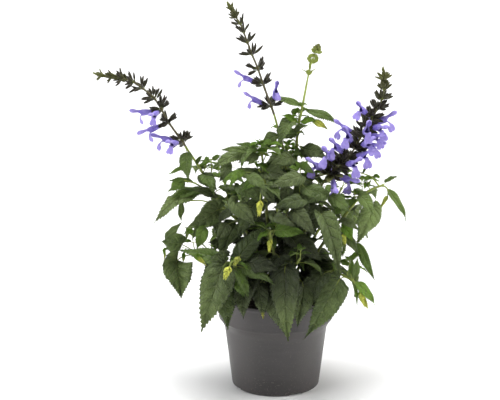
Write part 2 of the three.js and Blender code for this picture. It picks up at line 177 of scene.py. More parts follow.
def cappedFaces(rows, around):
    # a tube of rings and its ends, whose two middle points follow the rings, the far end's first
    count = rows * around
    faces = gridFaces(rows, around, True).tolist()
    faces += [[count - around + j, count - around + (j + 1) % around, count] for j in range(around)]
    return faces + [[(j + 1) % around, j, count + 1] for j in range(around)]


def sheetFaces(rows, columns, joined=True):
    # the upper and under side of a thin sheet, and the point numbers of both; joined along its two long edges
    index = np.arange(rows * columns).reshape(rows, columns)
    lower = index + rows * columns
    if joined:
        lower[:, 0], lower[:, -1] = index[:, 0], index[:, -1]
    upper = gridFaces(rows, columns)
    return upper, turnedOver(lower.ravel()[upper]), index, lower


def turnedOver(quads):
    return quads[:, [0, 3, 2, 1]]


def spokes(count):
    return np.arange(count) * fullTurn / count


def tubeRings(points, tangents, around, radii):
    # a row of points round each point of a line, turned as little as they can be along it
    sides = [unit(np.cross(tangents[0], [0.12, 1, 0.05]))]
    for tangent in tangents[1:]:
        sides.append(unit(sides[-1] - tangent * np.dot(sides[-1], tangent)))
    sides = np.array(sides)
    ups = np.cross(tangents, sides)
    angles = spokes(around)[:, None]
    return points[:, None] + (np.cos(angles) * sides[:, None] + np.sin(angles) * ups[:, None]) * radii


def newGroup(name, inputs, outputs):
    # a node group of single values, from its inputs with their usual values and the names of its outputs; the list
    # of input sockets that it gives back ends with a spare one
    group = bpy.data.node_groups.new(name, "ShaderNodeTree")
    for label, value in inputs.items():
        socket = group.interface.new_socket(name=label, in_out="INPUT", socket_type="NodeSocketFloat")
        socket.default_value = value
    for label in outputs:
        group.interface.new_socket(name=label, in_out="OUTPUT", socket_type="NodeSocketFloat")
    return group, group.nodes.new("NodeGroupInput").outputs


def closeGroup(group, *sockets):
    out = group.nodes.new("NodeGroupOutput")
    for k, socket in enumerate(sockets):
        group.links.new(socket, out.inputs[k])
    return group


def addNode(tree, kind, links=None, **settings):
    # a node with its settings, its input values and its incoming links
    node = tree.nodes.new(kind)
    for key, value in settings.items():
        setattr(node, key, value)
    for key, value in (links or {}).items():
        if isinstance(value, bpy.types.NodeSocket):
            tree.links.new(value, node.inputs[key])
        else:
            node.inputs[key].default_value = value
    return node


def mathNode(tree, operation, *values, clamp=False):
    return addNode(tree, "ShaderNodeMath", dict(enumerate(values)), operation=operation, use_clamp=clamp).outputs[0]


def times(tree, a, b):
    return mathNode(tree, "MULTIPLY", a, b)


def scaled(tree, value, gain, base):
    return mathNode(tree, "MULTIPLY_ADD", value, gain, base)


def mixColour(tree, share, a, b):
    return addNode(tree, "ShaderNodeMix", {0: share, 6: a, 7: b}, data_type="RGBA").outputs[2]


def stretch(tree, value, low, high, newLow=0.0, newHigh=1.0):
    return addNode(tree, "ShaderNodeMapRange", {0: value, 1: low, 2: high, 3: newLow, 4: newHigh}, clamp=True,
                   interpolation_type="SMOOTHSTEP").outputs[0]


def noise(tree, place, scale, detail, roughness=0.5):
    return addNode(tree, "ShaderNodeTexNoise", {"Vector": place, "Scale": scale, "Detail": detail,
                                                "Roughness": roughness}).outputs["Fac"]


def objectPlace(tree):
    return tree.nodes.new("ShaderNodeTexCoord").outputs["Object"]


def pieceUv(tree):
    return addNode(tree, "ShaderNodeUVMap", uv_map="pieceUV").outputs[0]


def split(tree, vector):
    return addNode(tree, "ShaderNodeSeparateXYZ", {0: vector}).outputs


def flatPlace(tree, x, y):
    return addNode(tree, "ShaderNodeCombineXYZ", {0: x, 1: y}).outputs[0]


def rgb(red, green, blue):
    # screen values from 0 to 255 as the linear colour that shaders use
    shares = (red / 255, green / 255, blue / 255)
    return (*[c / 12.92 if c <= 0.04045 else ((c + 0.055) / 1.055) ** 2.4 for c in shares], 1.0)


def mottleGroup():
    # soft uneven patches and fine grain, both around a half
    group, (patchScale, grainScale, _) = newGroup("mottle", {"Patch Scale": 60.0, "Grain Scale": 900.0},
                                                  ["Patches", "Grain"])
    place = objectPlace(group)
    return closeGroup(group, noise(group, place, patchScale, 3.0, 0.55), noise(group, place, grainScale, 2.0, 0.6))


def veinGroup():
    # the veins of a blade: a midrib, arching side veins and a fine net between them
    group, (sideVeins, veinWidth, netScale, _) = newGroup(
        "leafVeins", {"Side Veins": 9.0, "Vein Width": 0.11, "Net Scale": 26.0}, ["Midrib", "Veins", "Net", "Height"])
    uv = pieceUv(group)
    u, v, _ = split(group, uv)
    across = mathNode(group, "ABSOLUTE", scaled(group, u, 2.0, -1.0))
    midrib = stretch(group, across, 0.012, 0.05, 1.0, 0.0)
    shifted = scaled(group, noise(group, uv, 7.0, 1.0), 0.022, v)
    phase = scaled(group, shifted, sideVeins, 0.35)
    distance = mathNode(group, "ABSOLUTE", mathNode(group, "SUBTRACT", mathNode(group, "FRACT", phase), 0.5))
    width = times(group, veinWidth, scaled(group, across, -0.65, 1.0))
    nearness = mathNode(group, "DIVIDE", mathNode(group, "SUBTRACT", 0.5, distance), width)
    veins = stretch(group, nearness, 0.25, 1.0, 1.0, 0.0)
    stretched = flatPlace(group, times(group, u, 0.62), times(group, v, 1.0))
    cells = addNode(group, "ShaderNodeTexVoronoi", {"Vector": stretched, "Scale": netScale, "Randomness": 0.9},
                    feature="DISTANCE_TO_EDGE").outputs["Distance"]
    net = stretch(group, cells, 0.02, 0.14, 1.0, 0.0)
    sunk = scaled(group, mathNode(group, "MAXIMUM", midrib, veins), -1.0, 1.0)
    return closeGroup(group, midrib, veins, net, scaled(group, net, -0.32, sunk))


def tintGroup():
    # the three values that each point of a piece carries
    group, _ = newGroup("tintValues", {}, ["Age", "Chance", "Yellow"])
    tint = addNode(group, "ShaderNodeAttribute", attribute_name="tint").outputs["Vector"]
    return closeGroup(group, *split(group, tint))


def crownShadeGroup():
    # painted shade: how deep a point lies under and inside the crown, 0 outside, 1 low in its middle, weaker again at
    # the lowest leaves by the pot; sizes in metres
    group, (reach, top, drop, _) = newGroup("crownShade", {"Reach": 0.145, "Top": 0.43, "Drop": 0.19}, ["Shade"])
    x, y, z = split(group, objectPlace(group))
    depth = mathNode(group, "MAXIMUM", y, times(group, y, -0.35))
    place = flatPlace(group, x, depth)
    away = addNode(group, "ShaderNodeVectorMath", {0: place}, operation="LENGTH").outputs["Value"]
    outward = mathNode(group, "POWER", mathNode(group, "DIVIDE", away, reach), 2.0)
    inside = mathNode(group, "SUBTRACT", 1.0, outward, clamp=True)
    below = mathNode(group, "DIVIDE", mathNode(group, "SUBTRACT", top, z), drop, clamp=True)
    clear = stretch(group, z, 0.11, 0.2, 0.15, 1.0)
    return closeGroup(group, times(group, times(group, inside, below), clear))


mottle, leafVeins, tintValues, crownShade = mottleGroup(), veinGroup(), tintGroup(), crownShadeGroup()


def setInputs(node, values):
    for key, value in values.items():
        node.inputs[key.replace("_", " ")].default_value = value


def newMaterial(name, **settings):
    # an empty material with its shader, settings put straight on the shader's sockets
    material = bpy.data.materials.new(name)
    material.use_nodes = True
    shader = material.node_tree.nodes["Principled BSDF"]
    setInputs(shader, settings)
    return material, material.node_tree, shader


def placeGroup(tree, group, **values):
    node = addNode(tree, "ShaderNodeGroup", node_tree=group)
    setInputs(node, values)
    return node.outputs


def bumpNormal(tree, height, distance, strength, **normal):
    links = {"Height": height, "Distance": distance, "Strength": strength, **normal}
    return addNode(tree, "ShaderNodeBump", links).outputs[0]


def paintedCrownShade(tree, colour, strength):
    # painted shade: darker inside the crown, mixed toward the shade colour
    return mixColour(tree, times(tree, placeGroup(tree, crownShade)[0], strength), colour, leafFinish["shade"])


def finished(material, shader, colour, roughness, normal):
    for name, socket in (("Base Color", colour), ("Roughness", roughness), ("Normal", normal)):
        material.node_tree.links.new(socket, shader.inputs[name])
    return material


leafFinish = {
    "matureDark": rgb(40, 56, 22), "matureLight": rgb(141, 159, 98), "young": rgb(132, 178, 46),
    "veinMature": rgb(146, 160, 102), "veinYoung": rgb(160, 192, 84), "groove": rgb(26, 34, 16),
    "underMature": rgb(100, 116, 66), "underYoung": rgb(136, 166, 70),
    "shade": rgb(12, 16, 8), "yellow": rgb(222, 224, 92), "roughness": 0.38,
}


def leafUpperMaterial(f):
    material, tree, shader = newMaterial("leafUpper", Specular_IOR_Level=0.27, Sheen_Weight=0.03, Sheen_Roughness=0.5)
    age, chance, yellow = placeGroup(tree, tintValues)
    midrib, sideVeins, net, height = placeGroup(tree, leafVeins)
    cloud, fine = placeGroup(tree, mottle, Patch_Scale=85.0, Grain_Scale=380.0)
    patches = stretch(tree, cloud, 0.34, 0.66)
    # chance holds each leaf's tone: random, or set per leaf to paint light and shade
    share = scaled(tree, patches, 0.3, times(tree, chance, 0.56))
    share = scaled(tree, stretch(tree, fine, 0.4, 0.62), 0.2, share)
    blade = mixColour(tree, age, mixColour(tree, share, f["matureDark"], f["matureLight"]), f["young"])
    blade = mixColour(tree, scaled(tree, net, -0.3, 0.3), blade, f["groove"])
    rib = mixColour(tree, age, f["veinMature"], f["veinYoung"])
    blade = mixColour(tree, times(tree, sideVeins, 0.36), blade, rib)
    blade = mixColour(tree, times(tree, midrib, 0.7), blade, rib)
    # painted shade inside the crown, weaker on young leaves
    blade = paintedCrownShade(tree, blade, scaled(tree, age, -0.6, 0.92))
    blade = mixColour(tree, yellow, blade, f["yellow"])
    rough = scaled(tree, patches, 0.14, f["roughness"] - 0.07)
    grain = bumpNormal(tree, fine, 0.0009, 0.7)
    return finished(material, shader, blade, rough, bumpNormal(tree, height, 0.003, 1.0, Normal=grain))


def leafUnderMaterial(f):
    material, tree, shader = newMaterial("leafUnder", Specular_IOR_Level=0.2, Sheen_Weight=0.05, Sheen_Roughness=0.5)
    age, _, yellow = placeGroup(tree, tintValues)
    midrib, sideVeins, _, height = placeGroup(tree, leafVeins, Vein_Width=0.14)
    cloud, _ = placeGroup(tree, mottle, Patch_Scale=70.0, Grain_Scale=1500.0)
    patches = stretch(tree, cloud, 0.3, 0.7, 0.0, 0.3)
    blade = mixColour(tree, age, f["underMature"], f["underYoung"])
    blade = mixColour(tree, patches, blade, f["matureLight"])
    strongest = mathNode(tree, "MAXIMUM", midrib, times(tree, sideVeins, 0.7))
    # painted shade inside the crown
    blade = paintedCrownShade(tree, mixColour(tree, times(tree, strongest, 0.6), blade, f["veinYoung"]), 0.7)
    blade = mixColour(tree, yellow, blade, f["yellow"])
    raised = mathNode(tree, "SUBTRACT", 1.0, height)
    return finished(material, shader, blade, scaled(tree, patches, 0.3, 0.62), bumpNormal(tree, raised, 0.0006, 0.7))


stemFinish = {"foot": rgb(104, 100, 58), "green": rgb(136, 150, 66), "fresh": rgb(168, 188, 82),
              "dark": rgb(84, 70, 58), "ridge": rgb(168, 182, 100)}


def stemMaterial(f):
    # age 0 is the woody foot, 0.5 green and 1 fresh; dark is how dark a flowering axis is
    material, tree, shader = newMaterial("greenStem", Specular_IOR_Level=0.35, Sheen_Weight=0.15, Sheen_Roughness=0.4)
    age, ridge, dark = placeGroup(tree, tintValues)
    cloud, fine = placeGroup(tree, mottle, Patch_Scale=120.0, Grain_Scale=1800.0)
    patches = stretch(tree, cloud, 0.35, 0.7, 0.0, 0.35)
    colour = mixColour(tree, stretch(tree, age, 0.0, 0.5), f["foot"], f["green"])
    colour = mixColour(tree, stretch(tree, age, 0.5, 1.0), colour, f["fresh"])
    colour = mixColour(tree, times(tree, ridge, 0.35), colour, f["ridge"])
    colour = mixColour(tree, patches, colour, f["foot"])
    # painted shade inside the crown
    colour = paintedCrownShade(tree, mixColour(tree, dark, colour, f["dark"]), 0.45)
    return finished(material, shader, colour, scaled(tree, patches, 0.3, 0.5), bumpNormal(tree, fine, 0.0002, 0.6))


calyxFinish = {"dark": rgb(45, 43, 27), "purple": rgb(52, 41, 40), "olive": rgb(94, 98, 46),
               "green": rgb(138, 152, 68)}


def calyxMaterial(f):
    # age 0 is ripe and near black, 0.6 olive and 1 green; chance picks the purple, base is the green foot
    material, tree, shader = newMaterial("calyxSkin", Specular_IOR_Level=0.3, Sheen_Weight=0.12, Sheen_Roughness=0.45)
    age, chance, base = placeGroup(tree, tintValues)
    cloud, fine = placeGroup(tree, mottle, Patch_Scale=260.0, Grain_Scale=2600.0)
    patches = stretch(tree, cloud, 0.35, 0.65)
    colour = mixColour(tree, times(tree, patches, chance), f["dark"], f["purple"])
    colour = mixColour(tree, stretch(tree, age, 0.0, 0.6), colour, f["olive"])
    colour = mixColour(tree, stretch(tree, age, 0.55, 1.0), colour, f["green"])
    colour = mixColour(tree, stretch(tree, base, 0.0, 1.0, 0.0, 0.6), colour, f["green"])
    return finished(material, shader, colour, scaled(tree, patches, 0.15, 0.55), bumpNormal(tree, fine, 0.00025, 0.7))


petalFinish = {"tube": rgb(104, 88, 184), "lobe": rgb(152, 137, 214), "pale": rgb(184, 174, 228),
               "deep": rgb(92, 76, 166), "throat": rgb(68, 50, 144)}


def petalMaterial(f):
    # v runs from the calyx to the lobes' ends, u across; out is how far out on a lobe the point is
    material, tree, shader = newMaterial("petalSkin", Specular_IOR_Level=0.3, Sheen_Weight=0.3, Sheen_Roughness=0.4,
                                         Subsurface_Weight=0.12, Subsurface_Scale=0.002,
                                         Subsurface_Radius=(0.7, 0.6, 1.0))
    out, _, throat = placeGroup(tree, tintValues)
    cloud, fine = placeGroup(tree, mottle, Patch_Scale=180.0, Grain_Scale=2600.0)
    u, v, _ = split(tree, pieceUv(tree))
    lines = noise(tree, flatPlace(tree, times(tree, u, 14.0), v), 1.6, 3.0)
    streaks = stretch(tree, lines, 0.4, 0.7)
    colour = mixColour(tree, stretch(tree, out, 0.1, 0.8), f["tube"], f["lobe"])
    colour = mixColour(tree, times(tree, streaks, 0.3), colour, f["deep"])
    colour = mixColour(tree, stretch(tree, cloud, 0.35, 0.7, 0.0, 0.35), colour, f["pale"])
    colour = mixColour(tree, times(tree, throat, 0.85), colour, f["throat"])
    height = scaled(tree, lines, 0.7, times(tree, fine, 0.3))
    rough = scaled(tree, streaks, 0.12, 0.52)
    return finished(material, shader, colour, rough, bumpNormal(tree, height, 0.0003, 0.5))


# edge is the colour of a painted sheen along the pot's outline
potFinish = {"plastic": rgb(46, 43, 43), "edge": rgb(66, 63, 62), "worn": rgb(74, 70, 70), "dust": rgb(120, 114, 106),
             "roughness": 0.4}


def potMaterial(f):
    material, tree, shader = newMaterial("potPlastic", Specular_IOR_Level=0.5)
    wide, fine = placeGroup(tree, mottle, Patch_Scale=14.0, Grain_Scale=1400.0)
    place = objectPlace(tree)
    cloud = stretch(tree, wide, 0.4, 0.68)
    # painted sheen: the plastic turns lighter toward its outline, where it is seen at a slant
    grazingSheen = addNode(tree, "ShaderNodeLayerWeight", {"Blend": 0.5}).outputs["Facing"]
    colour = mixColour(tree, stretch(tree, grazingSheen, 0.01, 0.36), f["plastic"], f["edge"])
    colour = mixColour(tree, times(tree, cloud, 0.3), colour, f["worn"])
    stretched = addNode(tree, "ShaderNodeMapping", {"Vector": place, "Scale": (9.0, 9.0, 160.0)}).outputs[0]
    flow = noise(tree, stretched, 1.0, 2.0)
    colour = mixColour(tree, stretch(tree, flow, 0.45, 0.75, 0.0, 0.16), colour, f["worn"])
    low = stretch(tree, split(tree, place)[2], 0.0, 0.05, 1.0, 0.25)
    dust = times(tree, stretch(tree, noise(tree, place, 420.0, 1.0), 0.62, 0.72), low)
    colour = mixColour(tree, times(tree, dust, 0.5), colour, f["dust"])
    rough = scaled(tree, dust, 0.2, scaled(tree, cloud, 0.12, f["roughness"]))
    return finished(material, shader, colour, rough, bumpNormal(tree, scaled(tree, flow, 0.5, fine), 0.00012, 0.6))


soilFinish = {"dark": rgb(24, 20, 17), "brown": rgb(48, 40, 33), "fibre": rgb(84, 72, 58)}


def soilMaterial(f):
    material, tree, shader = newMaterial("pottingSoil", Specular_IOR_Level=0.25)
    chance = placeGroup(tree, tintValues)[1]
    cloud, fine = placeGroup(tree, mottle, Patch_Scale=220.0, Grain_Scale=900.0)
    patches = stretch(tree, cloud, 0.35, 0.65)
    colour = mixColour(tree, patches, f["dark"], f["brown"])
    colour = mixColour(tree, times(tree, stretch(tree, fine, 0.55, 0.75), 0.6), colour, f["fibre"])
    colour = mixColour(tree, times(tree, chance, 0.5), colour, f["fibre"])
    normal = bumpNormal(tree, scaled(tree, cloud, 1.5, fine), 0.0015, 0.9)
    return finished(material, shader, colour, scaled(tree, patches, 0.1, 0.86), normal)


leafUpper, leafUnder = leafUpperMaterial(leafFinish), leafUnderMaterial(leafFinish)
greenStem, calyxSkin, petalSkin = stemMaterial(stemFinish), calyxMaterial(calyxFinish), petalMaterial(petalFinish)
potPlastic, pottingSoil = potMaterial(potFinish), soilMaterial(soilFinish)
leafMaterials = [leafUpper, leafUnder, greenStem]
print("finishes made")


potStyle = {
    "height": 154.0, "rimRadius": 95.0, "collarFootRadius": 91.0, "collarFootHeight": 115.0,
    "shoulderRadius": 82.0, "shoulderHeight": 99.0, "footRadius": 70.0, "footRounding": 4.0,
    "footRingWidth": 7.0, "footDiscRadius": 20.0, "floorLift": 3.0, "floorThickness": 2.5, "wall": 2.4,
    "notchTurns": (-63, 27, 117, 207), "notchWidth": 22.0, "notchHeight": 3.2,
    "drainHoles": 5, "drainHoleRadius": 5.0, "drainHoleCircle": 41.0, "sides": 144, "sharpAngle": 40,
}


def turnedShape(outline, sides):
    # the outline of (radius, height) turned round; its first and last point lie on the middle line
    outline = np.asarray(outline, float)
    ring = np.stack([np.cos(spokes(sides)), np.sin(spokes(sides))], -1)
    inner = outline[1:-1]
    points = np.concatenate([inner[:, None, :1] * ring[None], np.repeat(inner[:, None, 1:], sides, 1)], -1)
    points = points.reshape(-1, 3)
    faces = gridFaces(len(inner), sides, True)[:, ::-1].tolist()
    first, last = len(points), len(points) + 1
    base = (len(inner) - 1) * sides
    for j in range(sides):
        faces.append([first, (j + 1) % sides, j])
        faces.append([last, base + j, base + (j + 1) % sides])
    return np.vstack([points, [0, 0, outline[0, 1]], [0, 0, outline[-1, 1]]]), faces


def potOutline(s):
    # up the outside from the foot disc and down the inside to the floor
    floorTop, ringInside = s["floorLift"] + s["floorThickness"], s["footRadius"] - s["footRingWidth"]
    f, r, disc, lift = s["footRounding"], s["footRadius"], s["footDiscRadius"], s["floorLift"]
    sr, sh = s["shoulderRadius"], s["shoulderHeight"]
    cr, ch = s["collarFootRadius"], s["collarFootHeight"]
    rr, h, w = s["rimRadius"], s["height"], s["wall"]
    corner = [[r - f + f * math.sin(a), f - f * math.cos(a)] for a in np.linspace(0, math.pi / 2, 7)]
    return [
        [0, 0], [disc - 0.4, 0], [disc + 0.6, 0.5], [disc + 2, lift], [ringInside - 2, lift],
        [ringInside - 0.6, 0.4], [ringInside, 0], *corner,
        [r + 0.25, f + 2], [r + (sr - r) * 0.35, f + (sh - f) * 0.35], [r + (sr - r) * 0.7, f + (sh - f) * 0.7],
        [sr - 0.5, sh - 4], [sr, sh - 1], [sr + 0.5, sh + 0.6], [sr + 2.2, sh + 4.2], [cr - 3.2, ch - 5.6],
        [cr - 1.6, ch - 3.4], [cr - 1.0, ch - 2.7], [cr + 0.2, ch - 1.5], [cr + 0.6, ch - 0.6], [cr + 0.5, ch + 0.6],
        [cr + 0.35, ch + 3], [cr + (rr - cr) * 0.5, ch + (h - ch) * 0.5], [rr - 0.75, h - 9],
        [rr - 0.7, h - 6.4], [rr - 0.1, h - 5.6], [rr, h - 4.4], [rr, h - 1.4], [rr - 0.4, h - 0.4], [rr - 1.2, h],
        [rr - w + 0.5, h], [rr - w - 0.1, h - 0.5], [rr - w - 0.4, h - 2], [cr - w + 1.2, h - 16],
        [cr - w - 1, ch + 1], [sr - w, sh + 1], [r - w, floorTop + 4], [r - w - 1.2, floorTop + 1.2],
        [r - w - 4, floorTop], [0, floorTop]]


def cutWith(piece, cutters):
    for cutter in cutters:
        cut = piece.modifiers.new("cut", "BOOLEAN")
        cut.operation, cut.solver, cut.object = "DIFFERENCE", "EXACT", cutter
    bpy.context.view_layer.update()
    old = piece.data
    mesh = bpy.data.meshes.new_from_object(piece.evaluated_get(bpy.context.evaluated_depsgraph_get()))
    piece.modifiers.clear()
    piece.data = mesh
    bpy.data.meshes.remove(old)
    for cutter in cutters:
        bpy.data.objects.remove(cutter)


def toCutter(work):
    mesh = bpy.data.meshes.new("cutter")
    work.to_mesh(mesh)
    work.free()
    return linkedObject("cutter", mesh)


def blockCutter(centre, half, turn):
    work = bmesh.new()
    bmesh.ops.create_cube(work, size=2)
    a = math.radians(turn)
    for vertex in work.verts:
        x, y, z = (vertex.co[k] * half[k] for k in range(3))
        x += centre
        vertex.co = (mm * (x * math.cos(a) - y * math.sin(a)), mm * (x * math.sin(a) + y * math.cos(a)), mm * z)
    return toCutter(work)


def holeCutter(circle, radius, turn):
    work = bmesh.new()
    bmesh.ops.create_cone(work, cap_ends=True, segments=24, radius1=radius * mm, radius2=radius * mm, depth=30 * mm)
    a = math.radians(turn)
    for vertex in work.verts:
        vertex.co.x += circle * mm * math.cos(a)
        vertex.co.y += circle * mm * math.sin(a)
    return toCutter(work)


def makePot(s):
    shape = Shape()
    shape.add(*turnedShape(potOutline(s), s["sides"]))
    pot = shape.toObject("pot", [potPlastic])
    half = (s["footRingWidth"], s["notchWidth"] / 2, s["notchHeight"])
    cutters = [blockCutter(s["footRadius"], half, turn) for turn in s["notchTurns"]]
    cutters += [holeCutter(s["drainHoleCircle"], s["drainHoleRadius"], 360 * k / s["drainHoles"])
                for k in range(s["drainHoles"])]
    cutWith(pot, cutters)
    pot.data.polygons.foreach_set("use_smooth", [True] * len(pot.data.polygons))
    work = bmesh.new()
    work.from_mesh(pot.data)
    for edge in work.edges:
        edge.smooth = len(edge.link_faces) == 2 and edge.calc_face_angle() < math.radians(s["sharpAngle"])
    work.to_mesh(pot.data)
    work.free()
    settle(pot, "pot_plastic", "nursery_pot")


makePot(potStyle)
print("pot made")


soilStyle = {
    "height": 142.0, "crown": 1.6, "crownRadius": 40.0, "radius": 89.2, "edgeWidth": 5, "edgeDrop": 2.2,
    "unevenness": 1.1, "rings": 46, "spokes": 120,
    "lower": ((88.0, 132.0), (86.0, 116.0), (78.8, 100.0), (66.8, 12.0), (60, 6.2), (0.5, 6.2)),  # radius, height
    # crumbs are round and chips long: a length and a height as shares of the width
    "crumbs": 520, "crumbSize": (0.8, 2.6), "crumbCircle": 84, "crumbLength": (0.8, 1.4), "crumbHeight": 0.8,
    "chips": 60, "chipGrowth": 1.2, "chipLength": (2.2, 4.2), "chipHeight": 0.35, "seed": 4,
}


def unevenGround(x, y, seed):
    # smooth uneven ground made of a few crossing waves
    rng = np.random.default_rng(seed)
    total = np.zeros_like(x)
    for size in (34, 19, 11, 6.5, 4.2):
        a, p, q = rng.uniform(0, math.pi), rng.uniform(0, 6.3), rng.uniform(0, 6.3)
        u, v = x * math.cos(a) + y * math.sin(a), y * math.cos(a) - x * math.sin(a)
        total += size / 34 * np.sin(fullTurn * u / size + p) * np.sin(fullTurn * v / (size * 1.3) + q)
    return total


def soilTop(x, y, s):
    radius = np.hypot(x, y)
    crown = s["crown"] * np.clip(1.15 - radius / s["crownRadius"] * 0.55, 0, 1)
    edge = np.clip((radius - s["radius"] + s["edgeWidth"]) / s["edgeWidth"], 0, 1)
    waves = s["unevenness"] * unevenGround(x, y, s["seed"]) * (1 - 0.5 * edge)
    return s["height"] + crown - s["edgeDrop"] * edge**2 + waves


def makeSoil(s):
    angles = spokes(s["spokes"])
    radii = np.linspace(0.5, s["radius"], s["rings"])[:, None]
    x, y = radii * np.cos(angles), radii * np.sin(angles)
    top = np.stack([x, y, soilTop(x, y, s)], -1).reshape(-1, 3)
    walls = [[r * math.cos(a), r * math.sin(a), z] for r, z in s["lower"] for a in angles]
    shape = Shape()
    shape.add(np.vstack([top, walls]), gridFaces(s["rings"] + len(s["lower"]), s["spokes"], True))
    settle(shape.toObject("soil", [pottingSoil]), "soil", "potting_soil")
    crumbs = Shape()
    rng = np.random.default_rng(s["seed"] + 1)
    for k in range(s["crumbs"] + s["chips"]):
        chip = k >= s["crumbs"]
        radius, angle = s["crumbCircle"] * math.sqrt(rng.uniform(0.01, 1)), rng.uniform(0, fullTurn)
        x, y = radius * math.cos(angle), radius * math.sin(angle)
        size = rng.uniform(*s["crumbSize"]) * (s["chipGrowth"] if chip else 1)
        long = rng.uniform(*s["chipLength" if chip else "crumbLength"])
        points, faces = crumbPoints(rng, size, long, s["chipHeight" if chip else "crumbHeight"])
        z = float(soilTop(np.array(x), np.array(y), s)) + size * 0.15
        crumbs.add(points + [x, y, z], faces, tint=(0, rng.uniform(0, 1) ** 2 if chip else rng.uniform(0, 0.4), 0))
    settle(crumbs.toObject("soilCrumbs", [pottingSoil], smooth=False), "soil")


def crumbPoints(rng, size, long, flat):
    work = bmesh.new()
    bmesh.ops.create_icosphere(work, subdivisions=1, radius=1)
    points = np.array([vertex.co[:] for vertex in work.verts])
    faces = [[vertex.index for vertex in face.verts] for face in work.faces]
    work.free()
    points = points * rng.uniform(0.65, 1.2, (len(points), 1)) * [size * long / 2, size / 2, size * flat / 2]
    a, b = rng.uniform(0, fullTurn), rng.uniform(-0.4, 0.4)
    x, y, z = points.T
    x, z = x * math.cos(b) - z * math.sin(b), x * math.sin(b) + z * math.cos(b)
    return np.stack([x * math.cos(a) - y * math.sin(a), x * math.sin(a) + y * math.cos(a), z], -1), faces


makeSoil(soilStyle)
print("soil made")


stemFoot = 143.9
stemRoutes = {
    "stem_left": [(-14, -8, stemFoot), (-24, -10, 205), (-50, -12, 262), (-74, -12, 287), (-95, -11, 311),
                  (-115, -10, 351), (-142, -10, 394)],
    "stem_middle": [(4, 4, stemFoot), (9, 4, 200), (17, 2, 265), (18, 0, 325), (12, 0, 380), (1, 0, 425),
                    (-5, 0, 447)],
    "stem_young": [(14, 14, stemFoot), (22, 18, 210), (28, 18, 285), (31, 14, 350), (32, 11, 395), (35, 10, 427),
                   (38, 9, 441), (41, 8, 457), (47, 10, 490)],
    "stem_upper_left": [(-6, -7, stemFoot), (-10, -10, 210), (-15, -18, 290), (-19, -26, 350), (-24, -32, 395)],
    "stem_right": [(15, -5, stemFoot), (34, -12, 215), (52, -16, 285), (68, -19, 328), (77, -20, 345)],
    "stem_side": [(24, -12, stemFoot), (54, -22, 208), (86, -28, 260), (107, -30, 288), (126, -30, 313),
                  (146, -30, 329), (166, -30, 337)],
    "stem_front_left": [(-10, -22, stemFoot), (-24, -46, 180), (-44, -72, 207), (-66, -96, 226)],
    "stem_centre": [(1, -20, stemFoot), (0, -38, 195), (-5, -62, 243), (-11, -88, 279)],
    "stem_front_right": [(11, -24, stemFoot), (17, -48, 182), (25, -74, 212), (36, -90, 236)],
    "stem_right_low": [(22, -22, stemFoot), (54, -44, 188), (86, -68, 208), (118, -82, 198)],
    "stem_left_low": [(-24, -2, stemFoot), (-56, -10, 184), (-92, -16, 210), (-128, -22, 226)],
    "stem_back_left": [(-14, 14, stemFoot), (-40, 46, 208), (-66, 78, 262), (-84, 98, 310)],
    "stem_back_centre": [(-1, 24, stemFoot), (0, 60, 220), (4, 92, 285), (8, 108, 335)],
    "stem_back_right": [(20, 24, stemFoot), (52, 48, 210), (84, 74, 258), (108, 92, 300)],
}

# side shoots: the stem that bears each, the place on it, and the points that the shoot passes
shootRoutes = {
    "shoot_left": ("stem_left", 4.1, [(-122, -18, 334), (-143, -24, 343)]),
    "shoot_left_top": ("stem_left", 4.6, [(-102, -14, 352), (-102, -15, 373)]),
    "shoot_fresh": ("stem_young", 1.9, [(32, -16, 304), (36, -40, 328), (36, -49, 366)]),
    "shoot_left_back": ("stem_left", 3.4, [(-118, 6, 302), (-150, 6, 300)]),
    "shoot_nodding": ("stem_upper_left", 2.6, [(-19, -44, 340), (-22, -70, 352), (-25, -92, 340), (-26, -96, 331)]),
    "shoot_side_bud": ("stem_side", 5.8, [(169, -32, 335), (173, -33, 330), (173, -33, 322)]),
    "shoot_side_back": ("stem_side", 5.7, [(147, -34, 351), (131, -36, 358)]),
    "shoot_right_tip": ("stem_right_low", 3.0, [(123, -88, 193), (128, -94, 187), (130, -96, 182)]),
    "shoot_front_left_tip": ("stem_front_left", 3.0, [(-62, -112, 240), (-70, -124, 240), (-73, -128, 232)]),
    "shoot_centre_tip": ("stem_centre", 3.0, [(-12, -93, 279), (-11, -96, 272), (-11, -98, 264)]),
}

# nodeLength is how far a node's swelling spreads, sunk how deep a stem's foot goes on into the soil
stemStyle = {"footRadius": 2.9, "tipRadius": 1.75, "shootRadius": 1.25, "around": 12, "step": 3.5,
             "groove": 0.16, "nodeSwell": 0.28, "nodeLength": 2.6, "sunk": 9}


def curvePoint(route, place):
    points, tangents = smoothCurve(route, place)
    return points[0], tangents[0]


def placeOnStem(name, place):
    return curvePoint(carrierRoutes[name], place)


def stepLengths(points):
    return np.linalg.norm(np.diff(np.asarray(points, float), axis=0), axis=1)


